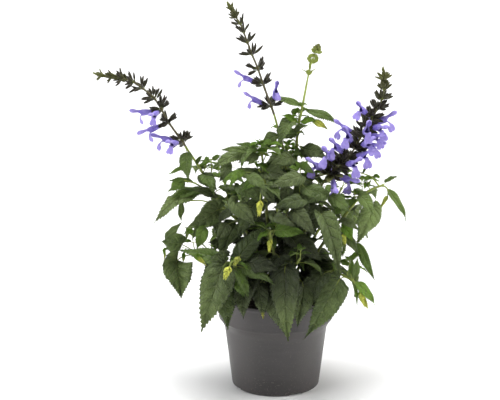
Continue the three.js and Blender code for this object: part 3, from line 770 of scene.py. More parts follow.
def addStem(shape, route, radiusAt, nodes, ageAt, darkAt=lambda share: 0.0, slot=0):
    # a four-cornered grooved stem, swollen at its nodes; radius, age and dark depend on the share of its length
    s = stemStyle
    around, spans, length = s["around"], len(route) - 1, np.sum(stepLengths(route))
    shares = np.linspace(0, 1, max(int(length / s["step"]), 6) + 1)
    points, tangents = smoothCurve(route, shares * spans)
    corner = 1 - s["groove"] * (0.5 + 0.5 * np.cos(4 * spokes(around)))
    swell = np.ones(len(shares))
    for node in nodes:
        swell += s["nodeSwell"] * np.exp(-(np.abs(shares - node / spans) * length / s["nodeLength"]) ** 2)
    radius, ages, darks = (np.array([valueAt(share) for share in shares]) for valueAt in (radiusAt, ageAt, darkAt))
    radius = radius * swell
    grid = tubeRings(points, tangents, around, corner[:, None] * radius[:, None, None])
    tip = points[-1] + tangents[-1] * radius[-1]
    ridge = np.tile((corner - corner.min()) / (corner.max() - corner.min()), len(shares))
    tint = np.stack([np.repeat(ages, around), ridge, np.repeat(darks, around)], -1)
    shape.add(np.vstack([grid.reshape(-1, 3), tip, points[0]]), cappedFaces(len(shares), around), slot,
              tint=np.vstack([tint, tint[-1:], tint[:1]]))


carrierRoutes = dict(stemRoutes)
for shootName, (parent, place, points) in shootRoutes.items():
    carrierRoutes[shootName] = [tuple(placeOnStem(parent, place)[0]), *points]


leafStyle = {
    "rows": 46, "coarseRows": 25,
    "columns": (0.05, 0.2, 0.42, 0.66, 0.87, 1.0), "coarseColumns": (0.08, 0.45, 0.8, 1.0),
    "thickness": 0.35,
    "sideVeins": 9.0,
    "quilt": 0.06,       # height of the bulges between veins, as a share of the width
    "tooth": 1.3,
    "scallop": 0.05,      # how far the edge swells between veins, as a share of the half width
    "uneven": 0.065,      # slow waves of the whole blade, as a share of the width
    "ruffle": 0.065,      # waves of the edge
    "stalkRadius": 0.95,
    "coarseResting": 14, "coarseSingle": 21,  # leaves narrower than this have fewer faces
    "seed": 11,
}

# half outline of a blade: row, distance along and distance across, each as a share
heartEdge = [(0, 0, 0.05), (0.05, -0.05, 0.30), (0.12, -0.055, 0.58), (0.20, 0.005, 0.80), (0.30, 0.105, 0.955),
             (0.40, 0.215, 1.0), (0.52, 0.365, 0.93), (0.64, 0.515, 0.755), (0.75, 0.655, 0.525), (0.85, 0.785, 0.29),
             (0.93, 0.895, 0.115), (1, 1, 0.008)]
lanceEdge = [(0, 0, 0.06), (0.05, 0.015, 0.24), (0.12, 0.055, 0.50), (0.20, 0.12, 0.74), (0.30, 0.215, 0.92),
             (0.40, 0.32, 1.0), (0.52, 0.455, 0.95), (0.64, 0.59, 0.775), (0.75, 0.71, 0.55), (0.85, 0.82, 0.31),
             (0.93, 0.91, 0.13), (1, 1, 0.008)]


def bentRib(start, turn, rise, bend, length):
    # from the stem outward, sinking by the bend on its way
    steps = 24
    shares = (np.arange(steps) + 0.5) / steps
    angles = np.radians(rise - bend * (1 - (1 - shares) ** 2))[:, None]
    moves = (np.cos(angles) * direction(turn, 0) + np.sin(angles) * np.array([0, 0, 1.0])) * length / steps
    return np.vstack([start, start + np.cumsum(moves, 0)])


def archedRib(start, tip, arch):
    middle = (np.asarray(start) + tip) / 2 + [0, 0, arch]
    return arcThrough(start, middle, tip, np.linspace(0, 1, 25)[:, None])


def restingRib(start, foot, tip, arch, facing):
    # from the stem through the blade's foot to its tip, rounded toward its face, and the length of its stalk
    steps = 11
    middle = (np.asarray(foot, float) + tip) / 2 + arch * facing
    rib = smoothCurve([start, foot, middle, tip], np.linspace(0, 3, 3 * steps + 1))[0]
    return rib, float(np.sum(stepLengths(rib[:steps + 1])))


def heartShare(width, age):
    # how heart-shaped a blade is; narrow and young ones are lance-shaped
    return float(np.clip((width - 16) / 16, 0, 1)) * (1 - 0.5 * age)


def addLeaf(shape, rib, stalk, width, age, rng, roll=0, heart=None, fold=None, yellow=0.0, coarse=False, facing=None,
            sickle=None, tone=None):
    # one blade with its stalk; rib runs from the stem to the leaf's tip, facing is where its face looks, and the tone
    # sets its greyness from 0, dark, to 1, or a pair for foot and tip: random where it is not set, while set values
    # paint light and shade, lighter for lit leaves and darker where a leaf or part of it hangs in shade
    s = leafStyle
    rows = s["coarseRows"] if coarse else s["rows"]
    half = np.array(s["coarseColumns"] if coarse else s["columns"])
    heart = heartShare(width, age) if heart is None else heart
    run = np.concatenate([[0], np.cumsum(stepLengths(rib))])
    length = run[-1]
    stalkShare = min(stalk / length, 0.6)
    blade = length * (1 - stalkShare)
    outward = unit([rib[-1][0] - rib[0][0], rib[-1][1] - rib[0][1], 0])
    level = np.array([-outward[1], outward[0], 0])
    fold = rng.uniform(0.16, 0.5) + 0.2 * age if fold is None else fold
    curl = rng.uniform(0.1, 0.4)
    rollAngle = math.radians(roll) * (1 if outward[0] >= 0 else -1)
    twist = math.radians(rng.uniform(-20, 20))
    sickle = rng.uniform(-0.06, 0.06) if sickle is None else sickle
    tipDroop = rng.uniform(-0.02, 0.05) * blade
    lean = rng.uniform(-0.07, 0.07)

    # where the rows cross the midrib, how wide they are, and the teeth and side veins along them
    q = np.linspace(0, 1, rows)
    edge = heart * smoothRows(heartEdge, q) + (1 - heart) * smoothRows(lanceEdge, q)
    across = np.maximum(edge[:, 1], 0.006) * width / 2
    ribPlace = edge[:, 0] - 0.85 * edge[:, 1] * (width / 2 / blade)
    ribPlace = 0.02 * np.logaddexp(ribPlace / 0.02, 0.3 * q**2.2 / 0.02)
    ribPlace = np.maximum.accumulate((ribPlace - ribPlace[0]) / (ribPlace[-1] - ribPlace[0]))
    ends = np.clip(q / 0.08, 0, 1) * np.clip((1 - q) / 0.06, 0, 1)
    tooth = np.where(np.arange(rows) % 2 == 0, 1.0, -0.55) * rng.uniform(0.65, 1.25, rows) * ends
    tooth = (tooth * min(s["tooth"], 0.017 * blade))[:, None]
    dome = (np.abs(np.sin(math.pi * (q * s["sideVeins"] + 0.35))) ** 0.8)[:, None]

    # the grid of points, across and along the blade and up from its plane
    c = np.concatenate([-half[::-1], [0], half])[None]
    size, toTip = np.abs(c), q[:, None]
    outer = size > 0.99
    toothed = outer * tooth + ((size > 0.75) & ~outer) * tooth * 0.3
    swell = 1 + s["scallop"] * (dome - 0.6) * size**2 + lean * c * size
    x = np.sign(c) * (size * across[:, None] * swell + toothed)
    along = ribPlace[:, None] + (edge[:, :1] - ribPlace[:, None]) * size**1.25 + toothed * 0.9 / blade
    along = np.minimum(along, 1.0)
    bulge = np.sin(math.pi * np.clip(size, 0, 1)) ** 0.7
    quilt = s["quilt"] * width * (dome - 0.35) * bulge * (1 - toTip) ** 0.25
    a, b, d, e = rng.uniform(0, fullTurn, 4)
    waves = rng.uniform(1.6, 3.2)
    ruffle = s["ruffle"] * width * np.sin(fullTurn * waves * toTip + a + 2.1 * (c > 0)) * size**2.5
    uneven = s["uneven"] * width * (np.sin(5.1 * toTip + 2.2 * c + b) * np.sin(3.4 * c + d)
                                    + 0.5 * np.sin(11.3 * toTip - 3.7 * c + e)) * size
    flat = np.abs(x)
    z = fold * flat - curl * flat**2 / (width / 2) + quilt + (ruffle + uneven) * np.clip(toTip / 0.2, 0, 1)
    z = z - 0.45 * (size < 0.01) * (1 - toTip) - tipDroop * np.clip((along - 0.65) / 0.35, 0, 1) ** 2

    # the grid laid along the rib
    place = stalkShare + (1 - stalkShare) * along
    points, tangents = ribPoint(rib, run, place.ravel())
    if facing is None:
        side = turnedAbout(np.broadcast_to(level, points.shape), tangents, rollAngle + twist * along.ravel())
    else:
        side = turnedAbout(unit(np.cross(facing, tangents)), tangents, twist * (along.ravel() - 0.4))
    up = unit(np.cross(tangents, side))
    shiftAside = sickle * blade * np.clip(along.ravel(), 0, 1) ** 2
    top = points + side * (x.ravel() + shiftAside)[:, None] + up * z.ravel()[:, None]
    ridge = np.where(size < 0.01, 1.0, 0.0) * (0.9 * (1 - toTip) ** 0.8 + 0.12) * min(width / 40, 1)
    deep = s["thickness"] * (0.35 + 0.65 * (1 - size**4)) + ridge
    under = top - up * deep.ravel()[:, None]

    columns = c.size
    v = np.repeat(q, columns)
    uv = np.stack([np.broadcast_to(0.5 + 0.5 * c, (rows, columns)).ravel(), v], -1)
    upper, beneath, index, lower = sheetFaces(rows, columns)
    ends = [[index[r, k + a], index[r, k + b], lower[r, k + b], lower[r, k + a]]
            for r, a, b in ((0, 1, 0), (rows - 1, 0, 1)) for k in range(columns - 1)]
    faces = np.vstack([upper, beneath])[:, ::-1].tolist() + [face for face in ends if len(set(face)) == 4]
    slots = [0] * len(upper) + [1] * (len(faces) - len(upper))
    tint = np.zeros((2 * rows * columns, 3))
    tint[:, 0] = np.clip(age + rng.uniform(-0.06, 0.1), 0, 1)
    # a grey share at random, or the one set, which paints light and shade
    if tone is None:
        tone = 0.15 + 0.75 * rng.uniform(0, 1)
    tint[:, 1] = np.tile(np.interp(v, (0.3, 0.85), tone), 2) if np.ndim(tone) else tone
    if yellow:
        # the last part of the blade turns yellow
        tint[:, 2] = np.tile(0.85 * np.clip((v - 1 + yellow) / (0.5 * yellow), 0, 1), 2)
    shape.add(np.vstack([top, under]), faces, slots, np.vstack([uv, uv]), tint)
    addStalk(shape, rib, run, stalkShare, width, age, rng)


def ribPoint(rib, run, place):
    place = np.clip(place, 0, 1) * run[-1]
    middle, slopes = (run[1:] + run[:-1]) / 2, unit(np.diff(rib, axis=0))
    points, tangents = (np.stack([np.interp(place, at, values[:, k]) for k in range(3)], -1)
                        for at, values in ((run, rib), (middle, slopes)))
    return points, unit(tangents)


def addStalk(shape, rib, run, stalkShare, width, age, rng):
    # the stalk runs on under the blade's base as its rib
    rows, around = 9, 8
    end = min(stalkShare + (1 - stalkShare) * 0.1, 0.95)
    shares = np.linspace(0, end, rows)
    points, tangents = ribPoint(rib, run, shares)
    radius = leafStyle["stalkRadius"] * np.clip(width / 34, 0.55, 1.15)
    radii = radius * np.interp(shares / end, [0, 0.08, 0.25, 0.8, 1], [1.5, 1.15, 1, 0.9, 0.35])
    points[:, 2] -= 0.5 * np.clip((shares - stalkShare * 0.7) / max(end - stalkShare * 0.7, 1e-6), 0, 1)
    shape.add(tubeRings(points, tangents, around, radii[:, None, None]), gridFaces(rows, around, True), 2,
              tint=(0.62 + 0.38 * age, rng.uniform(0, 1), 0))


# the leaves that stand free: stem, place, width and age, then where the blade rests (foot, tip, rounding) or how it
# is bent (turn, rise, bend, length, stalk, roll), where its face looks (turn, rise), and what else sets it apart
# a tone set below paints light and shade: above 1 for lit leaves at the top and sides, low values or a foot and tip
# pair for leaves, or parts of them, that hang in shade
freeLeaves = {
    "leaf_left_spike": ("stem_left", 6, 22, 0.25, {"rest": ((-140, -14, 385), (-137, -38, 346), 6),
        "facing": (-100, 12), "fold": 0.35}),
    "leaf_left_large": ("stem_left", 4.2, 30, 0.1, {"rest": ((-120, -15, 325), (-195, -36, 279), 14),
        "facing": (-100, 55), "fold": 0.1, "tone": 1.2}),
    "leaf_left_inner": ("stem_left", 3, 40, 0.0, {"rest": ((-90, -38, 300), (-136, -50, 275), 9),
        "facing": (-92, -8), "fold": 0.3}),
    "leaf_middle_upper": ("stem_middle", 4.4, 22, 0.15, {"rest": ((0, -14, 411), (-24, -24, 401), 4),
        "facing": (-92, 25), "fold": 0.15}),
    "leaf_upper_left_long": ("stem_upper_left", 3.9, 25, 0.1, {"bent": (201, 15, 45, 86, 18, 0),
        "facing": (-92, 50), "fold": 0.2, "tone": 1.1}),
    "leaf_young_arching": ("stem_young", 7, 16, 0.3, {"rest": ((46, 8, 448), (100, -4, 423), 9),
        "facing": (-80, 50), "fold": 0.3}),
    "leaf_young_round": ("stem_young", 5, 30, 0.1, {"bent": (236, 32, 92, 70, 20, 0)}),
    "leaf_young_oval": ("stem_young", 4, 24, 0.1, {"rest": ((40, -2, 389), (82, -24, 379), 9), "facing": (-88, 30),
        "fold": 0.1}),
    "leaf_right_folded": ("stem_right", 2, 32, 0.1, {"rest": ((68, -78, 304), (101, -106, 211), 10),
        "facing": (-70, 14), "fold": 0.55, "tone": 0.9, "sickle": -0.05}),
    "leaf_side_upper": ("stem_side", 3.6, 22, 0.2, {"bent": (-58, 78, 130, 68, 22, 0), "facing": (-80, 25),
        "tone": 1.3}),
    "leaf_side_large": ("stem_side", 4, 34, 0.15, {"rest": ((148, -45, 307), (129, -62, 248), 7),
        "facing": (-78, 20), "fold": 0.25, "tone": 1.4, "sickle": -0.1}),
    "leaf_side_tip": ("stem_side", 6, 14, 0.3, {"rest": ((172, -31, 331), (203, -38, 279), 5), "facing": (-60, 40),
        "fold": 0.4, "tone": 1.3}),
    "leaf_front_left_side": ("stem_front_left", 3, 27, 0.25, {"bent": (169, 28, 20, 90, 12, 25),
        "facing": (-92, 42), "fold": 0.15}),
    "leaf_front_left_raised": ("stem_front_left", 3, 30, 0.15, {"bent": (23, 60, 22, 86, 12, 0),
        "facing": (-112, 28), "fold": 0.15}),
    "leaf_front_left_hanging": ("stem_front_left", 2.8, 52, 0.1, {"rest": ((-79, -96, 230), (-117, -126, 127), 12),
        "facing": (-98, 14), "fold": 0.4, "tone": (0.3, 0.85)}),
    "leaf_front_left_forward": ("stem_front_left", 2.9, 24, 0.4, {"bent": (-28, 5, 30, 70, 10, 0),
        "facing": (-85, 45), "fold": 0.3}),
    "leaf_front_centre": ("stem_front_right", 2, 46, 0.0, {"rest": ((13, -94, 226), (11, -123, 112), 11),
        "facing": (-92, 8), "fold": 0.3, "tone": (0.1, 1.3)}),
    "leaf_centre_young": ("stem_centre", 3, 25, 0.7, {"bent": (-18, 15, 24, 54, 6, 0), "facing": (-85, 40),
        "fold": 0.2}),
    "leaf_front_right_hanging": ("stem_right_low", 3, 43, 0.05, {"rest": ((98, -87, 202), (44, -113, 110), 11),
        "facing": (-84, 16), "fold": 0.25, "tone": (0.55, 0.15)}),
    "leaf_low_left_round": ("stem_left_low", 3, 34, 0.15, {"rest": ((-148, -48, 246), (-180, -46, 250), 5),
        "facing": (-100, 15), "fold": 0.2}),
    "leaf_low_left_heart": ("stem_left_low", 2.9, 47, 0.05, {"rest": ((-155, -52, 221), (-147, -76, 166), 4),
        "facing": (-84, 5), "fold": 0.85}),
    "leaf_back_left": ("stem_back_left", 2, 50, 0.05, {"bent": (150, 20, 80, 118, 24, 0)}),
    "leaf_back_centre": ("stem_back_centre", 2, 48, 0.0, {"bent": (80, 20, 80, 116, 24, 0)}),
    "leaf_back_right": ("stem_back_right", 2, 50, 0.05, {"bent": (40, 20, 80, 118, 24, 0)}),
}

# leaves laid where they rest, by what carries them: place, foot of the blade, tip, rounding, width, where the face
# looks (turn, rise), age, and, where a tip is yellow, how much of it
restingLeaves = [
    ("shoot_left", [(1, (-130, -18, 339), (-169, -22, 341), 5, 10, (-90, 55), 0.5),
        (2, (-144, -23, 341), (-168, -30, 326), 5, 20, (-105, 32), 0.5)]),
    ("stem_left", [(5.3, (-125, -14, 367), (-115, -15, 381), 2, 7, (-95, 35), 0.4),
        (4, (-72, -60, 308), (-91, -66, 285), 4, 15, (-95, 25), 0.0),
        (3, (-110, -56, 276), (-124, -62, 242), 5, 20, (-95, 10), 0.45),
        (5, (-134, -12, 363), (-169, -20, 349), 5, 10, (-90, 50), 0.6),
        (5, (-116, -22, 352), (-94, -34, 328), 6, 24, (-90, 35), 0.12),
        (3.8, (-92, -22, 316), (-132, -30, 330), 8, 17, (-90, 50), 0.02)]),
    ("shoot_left_top", [(2, (-104, -16, 374), (-120, -20, 364), 4, 9, (-100, 40), 0.6),
        (2, (-100, -15, 374), (-86, -14, 381), 3, 9, (-80, 45), 0.65),
        (1.3, (-99, -12, 358), (-84, 2, 366), 3, 8, (-80, 60), 0.6)]),
    ("stem_upper_left", [(4, (-36, -40, 392), (-87, -55, 400), 5, 15, (-95, 50), 0.15),
        (4, (-31, -33, 394), (-63, -30, 403), 5, 13, (-95, 45), 0.3),
        (3.8, (-30, -44, 389), (-60, -70, 380), 6, 19, (-95, 40), 0.05),
        (3, (-70, -30, 366), (-88, -46, 346), 4, 20, (-95, 15), 0.0),
        (3, (-49, -68, 368), (-85, -85, 354), 5, 15, (-95, 45), 0.6),
        (3, (-60, -78, 366), (-75, -90, 349), 3, 12, (-100, 20), 0.65),
        (3.3, (-24, -50, 358), (-69, -60, 361), 6, 20, (-90, 40), 0.03),
        (3.2, (-20, -52, 364), (20, -60, 356), 7, 26, (-85, 35), 0.03)]),
    ("shoot_nodding", [(2, (-44, -84, 368), (-14, -105, 347), 6, 19, (-75, 20), 0.2),
        (2, (-23, -85, 350), (-2, -95, 324), 5, 18, (-85, 22), 0.05)]),
    ("stem_upper_left", [(2.6, (-58, -79, 349), (-24, -95, 329), 5, 21, (-90, 25), 0.1),
        (2, (-62, -84, 324), (-30, -102, 292), 7, 28, (-85, 15), 0.0)]),
    ("stem_left", [(2.4, (-76, -58, 281), (-92, -70, 258), 4, 22, (-100, 20), 0.02),
        (2, (-79, -48, 246), (-107, -55, 250), 5, 18, (-95, 40), 0.0)]),
    ("stem_front_left", [(2.9, (-120, -90, 240), (-107, -95, 224), 3, 9, (-90, 0), 1.0, 0.5)]),
    ("stem_left_low", [(3, (-170, -38, 249), (-149, -40, 281), 6, 15, (-120, 10), 0.2),
        (3, (-143, -46, 232), (-147, -52, 216), 1, 6, (-100, 0), 1.0, 0.4),
        (3, (-172, -38, 236), (-177, -42, 216), 1, 5, (-100, 0), 1.0, 0.4)]),
    ("stem_centre", [(1.6, (-48, -88, 230), (5, -110, 222), 9, 36, (-85, 35), 0.0)]),
    ("stem_front_left", [(2.8, (-63, -108, 214), (-49, -118, 182), 5, 21, (-90, 15), 0.55),
        (2.2, (-82, -86, 194), (-74, -112, 128), 8, 38, (-100, 5), 0.05)]),
    ("stem_centre", [(1.2, (-25, -94, 198), (-22, -113, 145), 6, 28, (-95, 5), 0.0, 0.12),
        (1, (-10, -94, 196), (13, -112, 118), 8, 38, (-100, 8), 0.03)]),
    ("stem_front_right", [(1.6, (40, -90, 196), (33, -109, 131), 6, 38, (-85, 5), 0.0)]),
    ("stem_young", [(7, (38, 6, 455), (-12, 3, 470), 5, 15, (-90, 55), 0.3),
        (6, (34, 4, 431), (6, -4, 442), 3, 13, (-90, 50), 0.95),
        (6, (38, 4, 431), (64, -4, 434), 4, 13, (-90, 50), 0.95),
        (4.4, (56, -4, 431), (80, -10, 421), 3, 12, (-85, 45), 0.6, 0.8),
        (4.6, (27, 0, 418), (48, -10, 427), 4, 14, (-90, 45), 0.15)]),
    ("stem_middle", [(4, (-7, -28, 406), (-29, -45, 398), 4, 12, (-95, 40), 0.55)]),
    ("stem_young", [(3.6, (38, 0, 386), (24, -15, 376), 4, 13, (-90, 35), 0.35),
        (3.2, (26, -28, 381), (-14, -55, 371), 6, 27, (-92, 35), 0.03)]),
    ("shoot_fresh", [(3, (37, -50, 367), (48, -50, 383), 2, 9, (-80, 30), 0.8),
        (3, (34, -50, 367), (17, -60, 372), 3, 9, (-95, 50), 0.85),
        (3, (36, -49, 369), (28, -52, 382), 2, 7, (-90, 20), 0.8)]),
    ("stem_young", [(2.8, (39, -60, 360), (-17, -90, 347), 8, 25, (-92, 32), 0.08)]),
    ("stem_middle", [(2.8, (17, -68, 346), (5, -85, 320), 4, 22, (-90, 8), 0.0)]),
    ("stem_young", [(2.9, (44, -60, 341), (84, -70, 326), 6, 27, (-85, 30), 0.1)]),
    ("stem_middle", [(2.6, (40, -80, 328), (-8, -98, 318), 7, 24, (-90, 30), 0.0),
        (2.2, (-5, -98, 307), (30, -112, 290), 7, 18, (-85, 15), 0.1),
        (2.2, (24, -84, 312), (62, -104, 276), 7, 26, (-85, 20), 0.0)]),
    ("stem_side", [(2.8, (98, -60, 290), (129, -64, 275), 4, 14, (-80, 35), 0.05)]),
    ("shoot_side_back", [(2, (129, -37, 360), (118, -44, 352), 2, 7, (-95, 50), 0.85),
        (2, (133, -37, 359), (139, -42, 366), 2, 7, (-80, 50), 0.85),
        (1, (145, -36, 353), (134, -44, 345), 3, 8, (-90, 45), 0.75),
        (1, (150, -36, 353), (161, -40, 350), 3, 8, (-80, 45), 0.75)]),
    ("shoot_fresh", [(2, (38, -44, 372), (59, -50, 361), 3, 14, (-85, 35), 0.35)]),
    ("stem_side", [(2.6, (103, -60, 283), (118, -65, 256), 3, 18, (-70, 15), 1.0),
        (2.4, (103, -55, 270), (128, -65, 234), 4, 17, (-65, 30), 0.15),
        (2.4, (126, -50, 249), (153, -60, 190), 3, 15, (-85, 10), 0.45)]),
    ("stem_right_low", [(3, (115, -83, 208), (117, -80, 236), 3, 9, (-90, 10), 0.7),
        (3, (119, -88, 203), (126, -84, 236), 3, 13, (-80, 15), 0.4)]),
    ("shoot_right_tip", [(1, (122, -90, 198), (153, -100, 164), 6, 17, (-60, 30), 0.7),
        (1, (127, -94, 184), (141, -100, 156), 3, 10, (-80, 10), 1.0, 0.8),
        (0.6, (123, -90, 192), (125, -95, 159), 2, 4, (-90, 0), 0.8)]),
    ("stem_right", [(3, (74, -60, 337), (43, -80, 317), 6, 25, (-90, 30), 0.1),
        (3, (82, -55, 326), (116, -66, 302), 6, 23, (-80, 30), 0.3)]),
    ("stem_front_right", [(2.4, (36, -70, 255), (70, -85, 229), 6, 24, (-85, 25), 0.0)]),
    ("stem_right", [(2, (64, -40, 307), (42, -52, 281), 5, 24, (-90, 25), 0.05),
        (1.6, (74, -30, 294), (48, -44, 262), 5, 28, (-90, 20), 0.0)]),
    ("stem_centre", [(1.6, (56, -30, 214), (38, -45, 184), 5, 26, (-90, 15), 0.0)]),
    ("stem_upper_left", [(2.4, (-36, -58, 344), (-20, -70, 318), 4, 20, (-90, 20), 0.1)]),
]

# more single leaves, mostly to the sides and the back, by what carries them: place, tip, arch, width, stalk, age,
# and, where a leaf is rolled over, how far
tipLeaves = [
    ("stem_left", [(5, (-97, -72, 332), 14, 24, 10, 0.25), (5, (-128, 52, 336), 22, 26, 12, 0.15)]),
    ("shoot_left_back", [(2, (-151, 20, 264), 16, 14, 5, 0.2, 40), (1.4, (-176, 44, 290), 18, 26, 10, 0.1)]),
    ("stem_upper_left", [(4, (-58, -76, 378), 16, 19, 8, 0.3), (4, (8, -70, 392), 10, 20, 8, 0.3)]),
    ("stem_middle", [(4.4, (46, 34, 404), 16, 26, 12, 0.1)]),
    ("stem_young", [(6.3, (30, 58, 424), 14, 22, 8, 0.3), (5, (8, 74, 402), 20, 28, 14, 0.15),
        (4, (-10, 62, 380), 22, 32, 16, 0.05)]),
    ("stem_side", [(6, (188, -8, 344), 6, 12, 5, 0.4), (4, (158, 42, 296), 24, 34, 16, 0.1),
        (3, (134, 62, 262), 26, 38, 16, 0.05)]),
    ("stem_front_left", [(3, (-45, -126, 182), 14, 20, 6, 0.5)]),
    ("stem_centre", [(3, (-30, -112, 270), 6, 13, 4, 0.75), (3, (-42, -96, 292), 8, 16, 5, 0.6)]),
    ("shoot_nodding", [(1.6, (-52, -96, 344), 14, 22, 6, 0.6, 30), (2.2, (6, -100, 332), 14, 20, 8, 0.15, 20)]),
]

# opposite pairs on each stem: place, turn of the first leaf, length, width, rise, bend, age
leafPairs = {
    "stem_left": [(0.9, 70, 96, 44, 35, 95, 0.0), (1.5, -25, 100, 46, 25, 85, 0.0), (2.2, 62, 96, 42, 25, 80, 0.05),
        (3.0, 42, 84, 36, 28, 75, 0.1), (4.2, 25, 78, 28, 30, 60, 0.2)],
    "stem_middle": [(1.0, 20, 98, 46, 30, 90, 0.0), (1.6, 112, 100, 46, 25, 80, 0.0),
        (2.2, 205, 100, 44, 25, 70, 0.0), (2.9, 285, 92, 40, 20, 65, 0.0), (3.6, 195, 80, 34, 20, 60, 0.05)],
    "stem_young": [(1.0, -10, 98, 44, 25, 85, 0.0), (1.6, 88, 98, 44, 25, 80, 0.0), (2.2, 5, 96, 42, 20, 70, 0.0),
        (2.9, 100, 90, 38, 22, 70, 0.05), (3.5, 20, 76, 32, 25, 65, 0.1)],
    "stem_upper_left": [(1.0, 230, 98, 46, 30, 90, 0.0), (1.6, 145, 98, 44, 25, 80, 0.0),
        (2.3, 240, 92, 40, 20, 75, 0.05), (3.1, 160, 80, 32, 22, 65, 0.1)],
    "stem_right": [(0.9, -20, 96, 44, 35, 90, 0.0), (1.5, 75, 96, 42, 25, 80, 0.0), (2.6, 30, 78, 34, 25, 75, 0.1)],
    "stem_side": [(1.0, -60, 92, 40, 30, 85, 0.05), (1.7, 30, 88, 38, 25, 80, 0.05)],
    "stem_front_left": [(1.0, 165, 84, 40, 40, 90, 0.0), (1.8, 250, 84, 38, 20, 95, 0.05)],
    "stem_centre": [(1.0, 190, 88, 42, 25, 80, 0.0), (1.8, -65, 84, 36, 10, 85, 0.1)],
    "stem_front_right": [(1.0, -20, 88, 42, 30, 95, 0.0), (2.6, 10, 70, 30, 20, 75, 0.2)],
    "stem_right_low": [(1.0, 30, 92, 44, 35, 95, 0.0), (2.0, 50, 84, 36, 20, 95, 0.05)],
    "stem_left_low": [(1.0, 100, 90, 44, 35, 90, 0.0), (2.0, 84, 84, 40, 30, 90, 0.05)],
    "stem_back_left": [(1.0, 60, 96, 44, 25, 90, 0.0), (1.6, 140, 92, 42, 20, 85, 0.05),
        (2.5, 60, 76, 34, 20, 80, 0.1), (3.0, 140, 54, 22, 40, 70, 0.4)],
    "stem_back_centre": [(1.0, 10, 98, 46, 25, 90, 0.0), (1.6, 95, 92, 42, 20, 80, 0.0),
        (2.5, 10, 78, 34, 20, 75, 0.1), (3.0, 95, 56, 22, 40, 70, 0.4)],
    "stem_back_right": [(1.0, 120, 94, 44, 25, 90, 0.0), (1.6, 35, 92, 42, 20, 85, 0.05),
        (2.5, 120, 76, 34, 20, 80, 0.1), (3.0, 35, 54, 22, 40, 70, 0.4)],
}

# small leafy shoots in the axils of each stem: place, turn, rise, length, age
axilShoots = {
    "stem_left": [(2.2, 250, 60, 26, 0.55), (3.0, 130, 70, 30, 0.5), (5.0, 20, 60, 18, 0.6)],
    "stem_upper_left": [(3.0, 190, 50, 36, 0.8), (3.5, 320, 60, 26, 0.8), (3.8, 230, 60, 18, 0.95),
        (4.0, 60, 50, 9, 0.8)],
    "stem_middle": [(3.2, 200, 60, 26, 0.5), (3.8, -60, 60, 26, 0.8), (4.3, 120, 65, 22, 0.6)],
    "stem_young": [(3.2, 230, 60, 24, 0.9), (6.0, -60, 78, 12, 1.0), (5.0, 100, 75, 14, 1.0)],
    "stem_right": [(1.8, -80, 60, 30, 0.6), (2.5, 20, 60, 26, 0.6), (3.1, 200, 60, 22, 0.6)],
    "stem_side": [(2.0, -80, 65, 26, 0.5), (2.8, 160, 70, 28, 0.6), (3.5, -10, 65, 22, 0.6), (4.4, 90, 60, 22, 0.7),
        (5.0, 160, 60, 16, 0.8)],
    "stem_front_left": [(2.0, 60, 60, 22, 0.7), (2.8, -100, 40, 16, 0.8)],
    "stem_centre": [(2.0, 200, 60, 26, 0.6), (2.6, 20, 60, 20, 0.7)],
    "stem_front_right": [(2.0, 40, 60, 24, 0.6), (3.0, -90, 50, 16, 0.7)],
    "stem_right_low": [(2.0, 10, 60, 22, 0.6), (2.7, 60, 60, 24, 0.7)],
    "stem_left_low": [(2.0, 240, 60, 22, 0.6), (3.0, 110, 55, 24, 0.7)],
    "stem_back_left": [(2.2, 10, 60, 28, 0.5), (3.0, 200, 60, 26, 0.7)],
    "stem_back_centre": [(2.2, 180, 60, 28, 0.5), (3.0, 0, 60, 26, 0.7)],
    "stem_back_right": [(2.2, 80, 60, 28, 0.5), (3.0, -60, 60, 26, 0.7)],
}


def addAxilShoot(shape, point, turn, rise, length, age, rng):
    # a short stalk with pairs of small fresh leaves
    points = [point]
    for k in range(4):
        points.append(points[-1] + direction(turn + rng.uniform(-8, 8), min(rise + 6 * k, 88)) * length / 4)
    addStem(shape, points, lambda share: 1.0 - 0.4 * share, (), lambda share: 0.75 + 0.2 * share, slot=2)
    for level, (place, size) in enumerate(((0.62, 1.0), (1.0, 0.85), (1.02, 0.45))):
        centre, _ = curvePoint(points, min(place, 1.0) * 4)
        for side in (0, 180):
            toward = turn + 90 * (level + 1) + side + rng.uniform(-25, 25)
            long = length * size * rng.uniform(0.75, 1.15) + 6
            rib = bentRib(centre, toward, 35 + 18 * level + rng.uniform(-12, 12), rng.uniform(40, 85), long)
            wide = long * rng.uniform(0.38, 0.5)
            addLeaf(shape, rib, long * 0.14, wide, min(age + 0.12 * level, 1), rng, rng.uniform(-15, 15), 0.5,
                    coarse=True)


